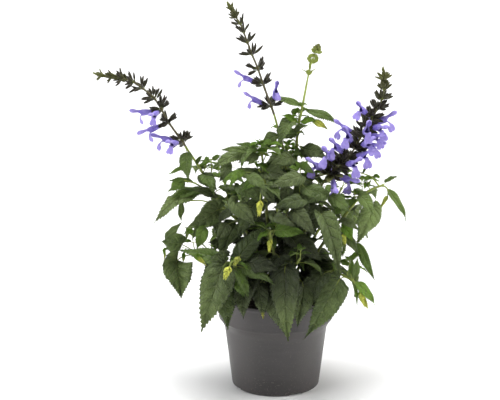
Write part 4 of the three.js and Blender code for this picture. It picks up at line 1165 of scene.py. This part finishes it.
def makeLeaves():
    rng = np.random.default_rng(leafStyle["seed"])
    for name, (stem, place, width, age, form) in freeLeaves.items():
        point, growth = placeOnStem(stem, place)
        form = dict(form)
        rest, bent = form.pop("rest", None), form.pop("bent", None)
        if "facing" in form:
            form["facing"] = direction(*form["facing"])
        if rest:
            rib, stalk = restingRib(point, *rest, form["facing"])
        else:
            turn, rise, bend, length, stalk, form["roll"] = bent
            aim = direction(turn, rise)
            reach = stalkReach(stem, place, aim, growth)
            rib = np.vstack([point + aim * reach * 0.3, bentRib(point + aim * reach, turn, rise, bend, length)])
            stalk += reach * 0.7
        shape = Shape()
        addLeaf(shape, rib, stalk, width, age, rng, **form)
        settle(shape.toObject(camelName(name), leafMaterials), "leaf", name)
    print("free leaves made:", len(freeLeaves))
    byStem = {}
    for carrier, rows in restingLeaves:
        shape = byStem.setdefault(shootParent(carrier), Shape())
        for place, foot, tip, arch, width, face, age, *yellow in rows:
            facing = direction(*face)
            rib, stalk = restingRib(placeOnStem(carrier, place)[0], foot, tip, arch, facing)
            # yellow is a list of one value or none
            addLeaf(shape, rib, stalk, width, age, rng, fold=rng.uniform(0.05, 0.35), yellow=sum(yellow),
                    coarse=width < leafStyle["coarseResting"], facing=facing)
    for carrier, rows in tipLeaves:
        shape = byStem.setdefault(shootParent(carrier), Shape())
        for place, tip, arch, width, stalk, age, *roll in rows:
            rib = archedRib(placeOnStem(carrier, place)[0], tip, arch)
            addLeaf(shape, rib, stalk, width, age, rng, sum(roll), coarse=width < leafStyle["coarseSingle"])
    for stem, rows in leafPairs.items():
        shape = byStem.setdefault(stem, Shape())
        for place, turn, length, width, rise, bend, age in rows:
            for side in (0, 180):
                toward = turn + side + rng.uniform(-8, 8)
                size = rng.uniform(0.88, 1.06)
                lift = rise + rng.uniform(-8, 8)
                rib = bentRib(placeOnStem(stem, place)[0], toward, lift, bend * rng.uniform(0.85, 1.1), length * size)
                addLeaf(shape, rib, length * size * 0.2, width * size, age, rng, rng.uniform(-12, 12),
                        heartShare(width, age))
    for stem, rows in axilShoots.items():
        for place, turn, rise, length, age in rows:
            addAxilShoot(byStem[stem], placeOnStem(stem, place)[0], turn, rise, length, age, rng)
    for stem, shape in byStem.items():
        settle(shape.toObject(camelName(stem.replace("stem", "foliage")), leafMaterials), "leaf")
    single = sum(len(rows) for _, rows in [*restingLeaves, *tipLeaves])
    print("foliage made:", single + 2 * sum(len(rows) for rows in leafPairs.values()), "leaves")


def shootParent(name):
    return shootRoutes[name][0] if name in shootRoutes else name


def stalkReach(stem, place, aim, growth):
    # from the middle of the stem to just outside it
    last = len(stemRoutes[stem]) - 1
    radius = stemStyle["footRadius"] + (stemStyle["tipRadius"] - stemStyle["footRadius"]) * place / last
    lean = float(np.dot(aim, growth))
    across = math.sqrt(1 - lean * lean)
    beside = (0.95 * radius + 0.3 + 0.9 * abs(lean)) / across
    if place == last and lean > 0:
        return min(beside, (0.3 + 0.9 * across) / lean)
    return beside


def makeStems():
    nodesOf = {name: set() for name in carrierRoutes}
    for stem, place, *_ in freeLeaves.values():
        nodesOf[stem].add(round(place, 1))
    for carrier, rows in [*restingLeaves, *tipLeaves, *leafPairs.items()]:
        nodesOf[carrier].update(round(row[0], 1) for row in rows)
    foot, tip = stemStyle["footRadius"], stemStyle["tipRadius"]
    for name, route in stemRoutes.items():
        shape = Shape()
        rooted = [(route[0][0], route[0][1], route[0][2] - stemStyle["sunk"]), *route]
        spans = len(route)
        fresh = 0.85 if name == "stem_young" else 0.6
        addStem(shape, rooted, lambda share: foot + (tip - foot) * max(share * spans - 1, 0) / (spans - 1),
                [node + 1 for node in nodesOf[name]], lambda share: 0.15 + fresh * share)
        for shoot in shootRoutes:
            if shootParent(shoot) == name:
                addStem(shape, carrierRoutes[shoot], lambda share: stemStyle["shootRadius"] * (1.15 - 0.45 * share),
                        nodesOf[shoot], lambda share: 0.6 + 0.3 * share)
        settle(shape.toObject(camelName(name), [greenStem]), "stem", name)


makeStems()
print("stems made:", len(stemRoutes))
makeLeaves()


# each spike: the middles of its whorls, its calyces (radius, length, number in a whorl, how far they stray along
# the axis), how they shrink upward (loss, power), its tip (length, calyces), the flowers of its own nodes and
# further ones (whorl, turn, rise), its leafy bracts (whorl, turn, rise, length) and the build of its flowers
spikes = {
    "spike_left": {
        "stem": "stem_left", "whorls": [(-146, -10, 401), (-168, -10, 433), (-178, -10, 452), (-190, -10, 471),
            (-208, -10, 487), (-221, -10, 496), (-237, -10, 502), (-253, -10, 505), (-270, -10, 507)],
        "end": (-282, -10, 510), "calyxRadius": 2.8, "calyxLength": 18, "perWhorl": 17, "scatter": 5,
        "fade": (0.5, 2.4), "tip": (50, 44),
        "flowers": [(0, 242, 12), (0, 175, 12), (1, 188, -18), (2, 181, -4)],
        "moreFlowers": [(2, 250, 4)],
        "bracts": [],
        "build": {"throat": 32, "girth": 1.22, "hood": 1.15, "lipLength": 16.5, "lipWidth": 11.5, "swing": 0.6},
    },
    "spike_middle": {
        "stem": "stem_middle", "whorls": [(-8, 0, 455), (-21, 0, 491), (-29, 0, 515), (-38, 0, 537), (-45, 0, 556),
            (-51, 0, 572), (-56, 0, 585), (-63, 0, 596), (-69, 0, 607)],
        "end": (-76, 0, 618), "calyxRadius": 2.9, "calyxLength": 20, "perWhorl": 10, "scatter": 2.6,
        "fade": (0.5, 1.8), "tip": (27, 24),
        "flowers": [(0, 189, 29), (0, -66, 64), (1, 175, 21)],
        "moreFlowers": [],
        "bracts": [],
        "build": {"throat": 32, "girth": 1.12, "hood": 1.1, "lipLength": 14.0, "lipWidth": 9.5, "swing": 0.5},
    },
    "spike_right": {
        "stem": "stem_right", "whorls": [(85, -20, 355), (98, -20, 367), (112, -20, 379), (122, -20, 395),
            (131, -20, 412), (139, -20, 428), (147, -20, 442), (156, -20, 456), (162, -20, 471), (165, -20, 486),
            (165, -20, 502)],
        "end": (163, -20, 521), "calyxRadius": 3.3, "calyxLength": 19, "perWhorl": 27, "scatter": 8,
        "fade": (0.36, 2.8), "tip": (24, 22),
        "flowers": [(0, -82, -24), (0, 205, 31), (1, -48, 18), (1, 222, 42), (2, -36, 20), (2, 214, 46),
            (3, 236, 51), (4, -74, 39), (5, 4, 26)],
        "moreFlowers": [(0, -27, -12), (4, 178, 32), (6, 226, 40), (3, -50, 27), (4, -44, 12), (5, -50, 10),
            (3, -14, 12), (1, 96, 4), (2, 128, -6), (3, 84, 16), (5, 82, 18), (4, 60, 12)],
        "bracts": [(0, 215, -12, 30), (0, 240, -2, 33), (0, 262, -16, 34), (0, 296, -6, 33), (0, 20, 25, 24),
            (0, 120, 10, 24), (1, 262, 6, 28), (1, 170, 20, 20)],
        "build": {"throat": 31, "girth": 1.36, "hood": 1.15, "lipLength": 19.5, "lipWidth": 13.5, "swing": 1.0},
    },
}

spikeStyle = {
    "axisFoot": 2.0, "axisTip": 1.1, "pedicel": 3.5, "openingLow": 78, "openingHigh": 50, "fewerHigh": 0.45,
    "bractLength": 8.6, "bractWidth": 2.8, "seed": 21,
    "clusterSpread": 320, "straying": 14,   # degrees
    "shutAbove": 0.35, "shutBelow": 0.3,    # from where up all calyces are shut, and how many are below it
    "nearFlower": 0.9,                      # a calyx that looks so nearly the way of a flower is left out
}

# calyx rows from foot to mouth and back inside: distance, radius, how far the teeth reach, each as a share
openCalyx = [(-0.02, 0.24, 0), (0.08, 0.5, 0), (0.24, 0.78, 0), (0.46, 0.9, 0), (0.66, 1.0, 0.08), (0.72, 1.06, 0.34),
             (0.66, 0.84, 0.26), (0.5, 0.7, 0), (0.3, 0.25, 0)]
shutCalyx = [(-0.02, 0.3, 0), (0.1, 0.62, 0), (0.3, 0.96, 0), (0.55, 1.0, 0), (0.78, 0.82, 0), (0.94, 0.5, 0),
             (1.04, 0.08, 0)]
bractRows = [(0, 0.25), (0.15, 0.75), (0.38, 1.0), (0.62, 0.8), (0.84, 0.4), (1.0, 0.05)]


def pieceFrame(aim):
    # forward, sideways and up for a piece that looks along the aim
    aim, down = unit(aim), np.array([0, 0, -1.0])
    drop = down - aim * np.dot(down, aim)
    if np.linalg.norm(drop) < 0.15:
        drop = np.array([aim[0], aim[1], 0]) + [0.001, 0, 0]
        drop = drop - aim * np.dot(drop, aim)
    up = -unit(drop)
    return aim, np.cross(up, aim), up


def addCalyx(shape, foot, aim, length, radius, age, rng, shut=False):
    # a narrow ribbed cup with long pointed teeth, or a spindle while it is shut
    forward, side, up = pieceFrame(aim)
    around = 12
    angles = spokes(around)
    lip = (0.5 + 0.5 * np.cos(3 * (angles - math.pi / 2))) ** 1.3
    rib = 1 + 0.09 * np.cos(6 * angles)
    bend = rng.uniform(-0.12, 0.16) * length
    rows = shutCalyx if shut else openCalyx
    grid, tints = [], []
    for x, r, reach in rows:
        mouth = reach > 0.2
        along = (x + reach * lip) * length
        wide = r * radius * rib * (1 - (0.45 if mouth else 0) * lip) + 0.3 * radius * lip * mouth
        rise = bend * (along / length) ** 2
        grid.append(foot + forward * along[:, None] + side * (wide * np.cos(angles) * 0.84)[:, None]
                    + up * (rise + wide * np.sin(angles))[:, None])
        green = 0.25 * (1 - x) if shut else max(0.0, 0.45 - x)
        tints.append(np.tile([age, rng.uniform(0.1, 0.9), green], (around, 1)))
    shape.add(np.vstack([*grid, grid[-1].mean(0), grid[0].mean(0)]), cappedFaces(len(rows), around),
              tint=np.vstack([*tints, tints[-1][:1], tints[0][:1]]))


def addPedicel(shape, start, end, radius, age, dark):
    points = np.linspace(start, end, 3)
    tangents = np.repeat(unit(points[-1] - points[0])[None], 3, 0)
    shape.add(tubeRings(points, tangents, 6, radius), gridFaces(3, 6, True), 1, tint=(age, 0.3, dark))


def addBract(shape, foot, aim, length, width, age, rng):
    # a small pointed scale, hollow on its upper side
    forward, side, up = pieceFrame(aim)
    columns = (-1, -0.5, 0, 0.5, 1)
    top = []
    for t, w in bractRows:
        for c in columns:
            across = c * w * width / 2
            top.append(foot + forward * (t * length) + side * across
                       + up * (0.35 * abs(across) + 0.16 * length * t * t))
    upper, beneath, _, _ = sheetFaces(len(bractRows), len(columns))
    shape.add(np.vstack([top, np.array(top) - up * 0.28]), np.vstack([upper, beneath]),
              tint=(age, rng.uniform(0.2, 1), 0.0))


def spikeRoute(stem, points):
    # from inside the stem's end through the points
    stemEnd, growth = placeOnStem(stem, len(stemRoutes[stem]) - 1)
    return [tuple(stemEnd - growth * 4), *points]


def leaning(along, around, lean):
    return unit(along * math.cos(lean) + around * math.sin(lean))


def makeSpike(name, spike):
    s = spikeStyle
    rng = np.random.default_rng(s["seed"] + len(name))
    route = spikeRoute(spike["stem"], [*spike["whorls"], spike["end"]])
    spans = len(route) - 1
    shape = Shape()
    addStem(shape, route, lambda share: s["axisFoot"] + (s["axisTip"] - s["axisFoot"]) * share, range(1, spans),
            lambda share: 0.4 + 0.2 * share, lambda share: 0.85 - 0.6 * max(share - 0.6, 0) / 0.4, slot=1)
    levels = len(spike["whorls"])
    loss, power = spike["fade"]
    for level in range(levels):
        youth = level / (levels - 1)
        centre, along = curvePoint(route, level + 1)
        side = unit(np.cross([0, 1, 0], along))
        opening = s["openingLow"] + (s["openingHigh"] - s["openingLow"]) * youth
        age = float(np.clip((youth - 0.7) / 0.3, 0, 1)) * 0.4
        size = 1.0 - loss * youth**power
        held = [direction(turn, rise) for at, turn, rise in spike["flowers"] + spike["moreFlowers"] if at == level]
        number = round(spike["perWhorl"] * (1 - s["fewerHigh"] * youth))
        for k in range(number):
            # in two clusters, and crosswise to those of the next whorl
            cluster = (k % 2) * 180 + 90 * (level % 2) + (k // 2 - (number - 2) / 4) * s["clusterSpread"] / number
            astray = rng.uniform(-s["straying"], s["straying"])
            around = turnedAbout(side, along, math.radians(cluster + astray))
            aim = leaning(along, around, math.radians(opening * rng.uniform(0.45, 1.25)))
            if any(np.dot(aim, other) > s["nearFlower"] for other in held):
                continue
            foot = centre + around * 1.0 + along * rng.uniform(-1, 1) * spike["scatter"] * (1 - 0.8 * youth)
            stalk = foot + aim * s["pedicel"] * size
            shut = youth > s["shutAbove"] or rng.uniform() < s["shutBelow"]
            addPedicel(shape, foot, stalk, 0.55, 0.55, 0.5 * (1 - youth))
            addCalyx(shape, stalk, aim, spike["calyxLength"] * size * rng.uniform(0.78, 1.04),
                     spike["calyxRadius"] * size * (0.8 if shut else 1), age, rng, shut)
        for aim in held:
            foot = centre + aim * 0.8
            sunk = unit(aim - np.array([0, 0, flowerStyle["sag"] * 0.05]))
            addPedicel(shape, foot, foot + sunk * 3.2, 0.6, 0.55, 0.6)
            addCalyx(shape, foot + sunk * 2.8, sunk, spike["calyxLength"] * 0.9,
                     spike["calyxRadius"] * (0.5 + 0.6 * spike["build"]["girth"]), 0.0, rng)
        for k in range(2):
            around = turnedAbout(side, along, math.radians(k * 180 + 90 * (level % 2) + rng.uniform(25, 55)))
            addBract(shape, centre + around * 0.8 - along * 1.5, unit(along * 0.6 + around),
                     s["bractLength"] - 2.2 * youth, s["bractWidth"], 0.2 + 0.35 * youth, rng)
    for level, turn, rise, length in spike["bracts"]:
        aim = direction(turn, rise)
        foot = np.array(spike["whorls"][level], float) + aim * 9
        addBract(shape, foot, aim, length * 0.9, length * 0.45, 0.55, rng)
    reach = np.sum(stepLengths(route[-4:]))
    tipLength, tipCalyces = spike["tip"]
    for k in range(tipCalyces):
        back = (k / (tipCalyces - 1)) ** 1.1
        tip, along = curvePoint(route, spans - 3 * tipLength * back / reach)
        around = turnedAbout(unit(np.cross([0, 1, 0], along)), along, math.radians(k * spiralTurn))
        addCalyx(shape, tip - along * 2.0 + around * 0.4, leaning(along, around, math.radians(8 + 40 * back)),
                 4.0 + 5.6 * back, 1.1 + 1.0 * back, 0.72 - 0.5 * back**0.5, rng, True)
    settle(shape.toObject(camelName(name), [calyxSkin, greenStem]), "calyx", name)


flowerStyle = {
    "tubeStart": 10.0,      # inside the calyx, from the whorl
    "length": 52.0,         # from the whorl to the hood's end
    "sag": 2.5, "thickness": 0.35, "seed": 5,
    "lipLooks": (-90, 15),  # the lips turn their faces partly this way
}

# half width of the lower lip: how far down it, and the width as it would be with a lip 10 wide
lipEdge = [(0, 3.2), (0.08, 4.1), (0.16, 4.4), (0.26, 3.4), (0.36, 3.6), (0.5, 4.5), (0.68, 5.0), (0.84, 5.0),
           (0.95, 3.8), (1, 2.2)]


def petalCoat(shares, columns, shade, dark, alongPetal):
    # the surface place and the tint of a petal's points, whose values change from row to row
    across = np.abs(np.linspace(-1, 1, columns))
    uv = np.stack([np.tile(across, len(shares)), np.repeat(alongPetal, columns)], -1)
    tint = np.stack([shade, np.zeros(len(shares)), dark], -1)
    return uv, np.repeat(tint, columns, 0)


def addFlower(shape, foot, aim, rng, build, size=1.0):
    # tube, then a narrow-necked hood above and a hanging lip below; forward, aside, above
    s = flowerStyle
    girth, hood = build["girth"] * size, build["girth"] * build["hood"] * size
    forward, side, up = pieceFrame(aim)
    around, tubeRows, hoodRows, lipRows, columns = 16, 10, 12, 16, 11
    angles = spokes(around) + math.pi / 2
    start, throat = s["tubeStart"], build["throat"] * rng.uniform(0.95, 1.03)
    rise = rng.uniform(-0.8, 0.8)

    def axisLift(x):
        t = (x - start) / (throat - start)
        sag = s["sag"] * np.sin(math.pi * np.clip(x / s["length"], 0, 1))
        return rise * t + 0.5 * np.sin(math.pi * np.clip(t, 0, 1)) - sag

    def ringAt(x, lift, wide, tall, at):
        return foot + forward * x + side * (wide * np.cos(at))[:, None] + up * (lift + tall * np.sin(at))[:, None]

    rows, shares = [], np.linspace(0, 1, tubeRows)
    for t in shares:
        x = start + (throat - start) * t
        r = np.interp(t, [0, 0.2, 0.41, 0.7, 0.92, 1.0], [1.5, 2.3, 3.2, 4.0, 4.3, 4.1]) * girth
        rows.append(ringAt(x, axisLift(x), r * 0.8, r, angles))
    uv, tint = petalCoat(shares, around, 0.3 * shares, 0 * shares, shares * 0.5)
    shape.add(np.vstack(rows), gridFaces(tubeRows, around, True), 0, uv, tint)

    # hood: the ring's upper points carried on through a neck into a blunt spoon
    top = np.radians(np.linspace(-30, 210, columns))
    hoodEnd = s["length"] * size * rng.uniform(0.95, 1.04)
    slope = rng.uniform(-0.1, 0.12)
    rows, shares = [], np.linspace(0, 1, hoodRows)
    for t in shares:
        past = (hoodEnd - throat) * t
        x = throat + past
        grown = np.interp(t, [0, 0.26, 0.5], [girth, girth, hood])
        wide = np.interp(t, [0, 0.12, 0.26, 0.42, 0.7, 0.88, 0.96, 1], [3.4, 2.4, 1.6, 1.9, 2.8, 2.6, 1.6, 0.3])
        tall = np.interp(t, [0, 0.12, 0.26, 0.42, 0.7, 0.88, 1], [4.1, 2.9, 1.9, 2.2, 3.0, 2.6, 0.5])
        arched = np.interp(t, [0, 0.26, 1], [0, 1.2, 0.2])
        lift = axisLift(x) - rise * (x - throat) / (throat - start) + slope * (x - throat) + arched
        rows.append(ringAt(x, lift, wide * grown, tall * grown, top))
    shade = np.interp(shares, [0, 0.3, 0.6, 1], [0.3, 0.45, 0.9, 1.0])
    addPetal(shape, np.array(rows), *petalCoat(shares, columns, shade, 0 * shares, 0.5 + 0.5 * shares))

    # lower lip: two small side lobes at the throat, then a hanging spoon
    drop = math.radians(rng.uniform(58, 92)) + 1.0 * max(0.0, math.asin(forward[2]) - 0.3)
    lipLength = build["lipLength"] * size * rng.uniform(0.9, 1.08)
    lipWidth = build["lipWidth"] * size * rng.uniform(0.9, 1.08)
    across = np.linspace(-1, 1, columns)
    position = np.array([throat - 1.2, axisLift(throat) - 3.6 * girth])
    rows, shares = [], np.linspace(0, 1, lipRows)
    half = smoothRows(lipEdge, shares)[:, 0] / 5.0 * lipWidth / 2
    look = direction(*s["lipLooks"])
    hang = unit(forward * math.cos(drop) - up * math.sin(drop))
    face = unit(forward * math.sin(drop) + up * math.cos(drop))
    away = math.atan2(float(np.dot(np.cross(face, look), hang)), float(np.dot(face, look)))
    swing = float(np.clip(away, -1.1, 1.1)) * rng.uniform(0.75, 1.0) * build["swing"] * (abs(away) < 2.3)
    for k, t in enumerate(shares):
        angle = np.interp(t, [0, 0.12, 0.36, 1], [0.1, drop * 0.5, drop, drop * 1.08])
        if k:
            position = position + np.array([math.cos(angle), -math.sin(angle)]) * lipLength / (lipRows - 1)
        x = across * half[k]
        cupped = np.interp(t, [0, 0.14, 0.3, 0.6, 1], [-0.36, -0.1, -0.2, 0.1, 0.14]) * x * x / max(half[k], 0.1)
        lobe = 1.4 * np.clip(np.abs(across) - 0.5, 0, 1) * np.interp(t, [0, 0.08, 0.16, 0.26], [0, 0.7, 1, 0])
        crease = -0.35 * np.exp(-(across / 0.16) ** 2) * np.interp(t, [0.3, 0.6, 1], [0, 1, 0.3])
        notch = np.where(np.abs(across) < 0.25, -0.07 * lipLength, 0) * np.clip((t - 0.86) / 0.14, 0, 1)
        flow = forward * math.cos(angle) - up * math.sin(angle)
        turn = swing * np.clip((t - 0.2) / 0.35, 0, 1)
        aside = turnedAbout(side, flow, turn)
        normal = turnedAbout(forward * math.sin(angle) + up * math.cos(angle), flow, turn)
        centre = foot + forward * position[0] + up * position[1]
        lifted = lobe - cupped + crease
        rows.append(centre + aside * x[:, None] + normal * lifted[:, None] + flow * notch[:, None])
    shade = np.interp(shares, [0, 0.08, 0.3, 1], [0.35, 0.7, 0.85, 1.0])
    dark = np.interp(shares, [0, 0.08, 0.2], [0.55, 0.3, 0.0])
    addPetal(shape, np.array(rows), *petalCoat(shares, columns, shade, dark, 0.5 + 0.5 * shares))

    # the thread of the style, just past the hood
    reach, lift = hoodEnd - throat, axisLift(throat) + 1.5
    points = np.array([foot + forward * (throat + reach * t) + up * (lift + slope * reach * t + z * size)
                       for t, z in ((0, 2.2), (0.5, 1.6), (0.9, 1.8), (1.12, 0.9))])
    thread = tubeRings(points, unit(np.gradient(points, axis=0)), 5, 0.28)
    shape.add(thread, gridFaces(len(points), 5, True), 0, tint=(0.6, 0, 0))


def addPetal(shape, grid, uv, tint):
    # a thin closed petal from one grid of points
    rows, columns, _ = grid.shape
    points = grid.reshape(-1, 3)
    normals = unit(np.cross(np.gradient(grid, axis=0), np.gradient(grid, axis=1))).reshape(-1, 3)
    under = points + normals * flowerStyle["thickness"]
    upper, beneath, index, lower = sheetFaces(rows, columns, False)
    rim = []
    for a, b in ((index[0], lower[0]), (index[:, -1], lower[:, -1]), (index[-1][::-1], lower[-1][::-1]),
                 (index[:, 0][::-1], lower[:, 0][::-1])):
        rim += [[a[k + 1], a[k], b[k], b[k + 1]] for k in range(len(a) - 1)]
    shape.add(np.vstack([points, under]), np.vstack([upper, beneath, rim]), 0, np.vstack([uv, uv]),
              np.vstack([tint, tint]))


def makeFlowers():
    rng = np.random.default_rng(flowerStyle["seed"])
    for name, spike in spikes.items():
        for number, (level, turn, rise) in enumerate(spike["flowers"], 1):
            node = name.replace("spike", "flower") + f"_{number}"
            shape = Shape()
            addFlower(shape, np.array(spike["whorls"][level], float), direction(turn, rise), rng, spike["build"])
            settle(shape.toObject(camelName(node), [petalSkin]), "petal", node)
    for name, spike in spikes.items():
        shape = Shape()
        for level, turn, rise in spike["moreFlowers"]:
            addFlower(shape, np.array(spike["whorls"][level], float), direction(turn, rise), rng, spike["build"],
                      rng.uniform(0.9, 1.0))
        if shape.count:
            settle(shape.toObject(camelName(name.replace("spike", "flowers") + "_more"), [petalSkin]), "petal")


for spikeName, spikeRow in spikes.items():
    makeSpike(spikeName, spikeRow)
makeFlowers()
print("spikes and flowers made")


# bracts, ring and tip are where its three tiers sit, each with its number of buds
youngSpike = {"stem": "stem_young", "bracts": (50, 10, 506), "bractBuds": 6, "ring": (56, 10, 529), "ringBuds": 10,
              "tip": (63, 10, 544), "tipBuds": 22, "seed": 31}

# each nodding shoot tip: foot, end, width, age
hangingTips = [
    ((-26, -96, 331), (-28, -98, 302), 15.0, 1.0), ((-11, -98, 270), (-12, -103, 247), 12.0, 0.8),
    ((-73, -128, 236), (-81, -130, 212), 17.0, 1.0), ((-58, -121, 249), (-67, -124, 233), 14.0, 0.4),
    ((130, -96, 185), (138, -98, 156), 14.0, 0.9), ((103, -66, 270), (106, -68, 249), 13.0, 0.75),
    ((173, -33, 322), (161, -38, 300), 10.0, 0.5),
]
tipStyle = {"scales": 18, "seed": 37}


def makeYoungSpike(s):
    rng = np.random.default_rng(s["seed"])
    bracts, ring, tip = (np.array(s[key], float) for key in ("bracts", "ring", "tip"))
    shape = Shape()
    addStem(shape, spikeRoute(s["stem"], [bracts, ring, tip]), lambda share: 1.6 - 0.6 * share, (1,),
            lambda share: 0.85, slot=1)
    for k, turn in enumerate((8, 98, 188, 278)):
        addBract(shape, bracts, direction(turn, 24), 15.0 if k % 2 == 0 else 9, 6.0, 0.95, rng)
    for k in range(s["bractBuds"]):
        turn = 360 / s["bractBuds"] * k + rng.uniform(-8, 8)
        addCalyx(shape, bracts - [0, 0, 3], direction(turn, 62), 8.5, 2.3, 0.92, rng, True)
    for k in range(3):
        addCalyx(shape, bracts + [1.5, 0, 5], direction(120 * k, 84), 11, 1.9, 0.85, rng, True)
    # a loop of buds that leans forward, open in its middle
    for k in range(s["ringBuds"]):
        a = math.radians(360 / s["ringBuds"] * k + rng.uniform(-5, 5))
        outward = np.array([math.cos(a), -0.2 * math.sin(a), 0.98 * math.sin(a)])
        along = np.array([-math.sin(a), -0.2 * math.cos(a), 0.98 * math.cos(a)])
        lean = along if math.cos(a) > 0 else -along
        start = ring + outward * 4.7 - lean * 3.4
        addPedicel(shape, ring - [0.5, 0, 1.5], start, 0.5, 0.9, 0)
        addCalyx(shape, start, unit(lean + outward * 0.35), 7.4, 2.9, 0.8 + 0.15 * rng.uniform(), rng, True)
    for k in range(s["tipBuds"]):
        aim = direction(k * spiralTurn, 90 - (84 - 3.6 * k))
        foot = tip + [0.15 * k - 2, 0, 0.36 * k - 5]
        addCalyx(shape, foot, aim, 9.6 - 0.16 * k, 2.9 - 0.03 * k, 0.9 - 0.02 * k, rng, True)
    settle(shape.toObject("spikeYoung", [calyxSkin, greenStem]), "bud", "spike_young")


def makeHangingTips():
    rng = np.random.default_rng(tipStyle["seed"])
    shape = Shape()
    for foot, end, width, age in hangingTips:
        foot, end = np.array(foot, float), np.array(end, float)
        length, down = float(np.linalg.norm(end - foot)), unit(end - foot)
        aside = unit(np.cross(down, [0, 1, 0.1]))
        for k in range(tipStyle["scales"]):
            # plump scales in a spiral, shorter toward the end
            around = turnedAbout(aside, down, math.radians(spiralTurn * k))
            start = foot + down * length * 0.04 * k
            tip = start + down * length * (0.36 - 0.006 * k) + around * width * (0.3 - 0.012 * k)
            belly = (start + tip) / 2 + around * width * (0.42 - 0.012 * k)
            rib = arcThrough(start, belly, tip, np.linspace(0, 1, 13)[:, None])
            addBud(shape, rib, width * (0.6 - 0.012 * k), around, age, rng)
    settle(shape.toObject("noddingTips", leafMaterials), "bud")


def addBud(shape, rib, width, outward, age, rng):
    # one young folded leaf of a closed tip, its back turned outward
    rows = len(rib)
    t = np.linspace(0, 1, rows)
    wide = np.interp(t, [0, 0.12, 0.35, 0.65, 0.88, 1], [0.12, 0.6, 1.0, 0.72, 0.3, 0.03]) * width / 2
    tangents = unit(np.gradient(rib, axis=0))
    side = unit(np.cross(tangents, np.broadcast_to(outward, rib.shape)))
    out = unit(np.cross(side, tangents))
    columns = np.array([-1, -0.6, -0.2, 0.2, 0.6, 1])
    folded = (0.55 * wide[:, None] * columns**2)[..., None]
    grid = rib[:, None] + side[:, None] * (wide[:, None] * columns)[..., None] - out[:, None] * folded
    top = grid.reshape(-1, 3)
    under = top - np.repeat(out, len(columns), 0) * 0.3
    upper, beneath, _, _ = sheetFaces(rows, len(columns))
    uv = np.stack([np.tile(0.5 + 0.5 * columns, rows), np.repeat(t, len(columns))], -1)
    shape.add(np.vstack([top, under]), turnedOver(np.vstack([upper, beneath])), [1] * len(upper) + [0] * len(beneath),
              np.vstack([uv, uv]), (age, rng.uniform(0, 1), age * rng.uniform(0.55, 1)))


makeYoungSpike(youngSpike)
makeHangingTips()
print("young spike and shoot tips made")


stageStyle = {
    "floorColour": (0.8, 0.8, 0.8, 1), "world": (1.0, 1.0, 1.0), "worldStrength": 0.06,
    "reach": 30000, "wallHeight": 60000, "wallSides": 32,
    # each soft light: where it shines from, its strength, its spread in degrees and its colour
    "lights": {
        "topLight": ((0.0, 0.15, 1.0), 3.9, 38, (1.0, 1.0, 1.0)),
        "rightLight": ((1.0, -0.25, 0.6), 2.1, 42, (1.0, 0.99, 0.97)),
        "leftLight": ((-1.0, -0.35, 0.65), 2.0, 42, (0.98, 0.99, 1.0)),
    },
}


def makeStage(s):
    reach, sides = s["reach"], s["wallSides"]
    shape = Shape()
    shape.add([[-reach, -reach, 0], [reach, -reach, 0], [reach, reach, 0], [-reach, reach, 0]], [[0, 1, 2, 3]])
    material, _, _ = newMaterial("paleFloor", Roughness=0.8, Specular_IOR_Level=0.2, Base_Color=s["floorColour"])
    shape.toObject("floor", [material])
    # a pale wall far off all round; it throws no light or shadow on the plant
    ring = np.stack([reach * np.cos(spokes(sides)), reach * np.sin(spokes(sides)), np.zeros(sides)], -1)
    wall = Shape()
    wall.add(np.vstack([ring, ring + [0, 0, s["wallHeight"]]]), gridFaces(2, sides, True))
    pale, _, _ = newMaterial("paleWall", Emission_Strength=1.0, Specular_IOR_Level=0.0,
                             Emission_Color=(1.0, 1.0, 1.0, 1))
    backdrop = wall.toObject("backdrop", [pale])
    backdrop.visible_diffuse = backdrop.visible_shadow = backdrop.visible_glossy = False
    world = bpy.data.worlds.new("studio")
    world.use_nodes = True
    background = world.node_tree.nodes["Background"]
    background.inputs[0].default_value = (*s["world"], 1)
    background.inputs[1].default_value = s["worldStrength"]
    bpy.context.scene.world = world
    for name, (place, strength, spread, colour) in s["lights"].items():
        data = bpy.data.lights.new(name, "SUN")
        data.energy, data.angle, data.color = strength, math.radians(spread), colour
        light = linkedObject(name, data)
        light.location = place
        back = unit(place)
        light.rotation_euler = (math.pi / 2 - math.asin(back[2]), 0, math.atan2(back[0], -back[1]))


makeStage(stageStyle)
bpy.context.scene.view_settings.view_transform = "Standard"

print("stage made")
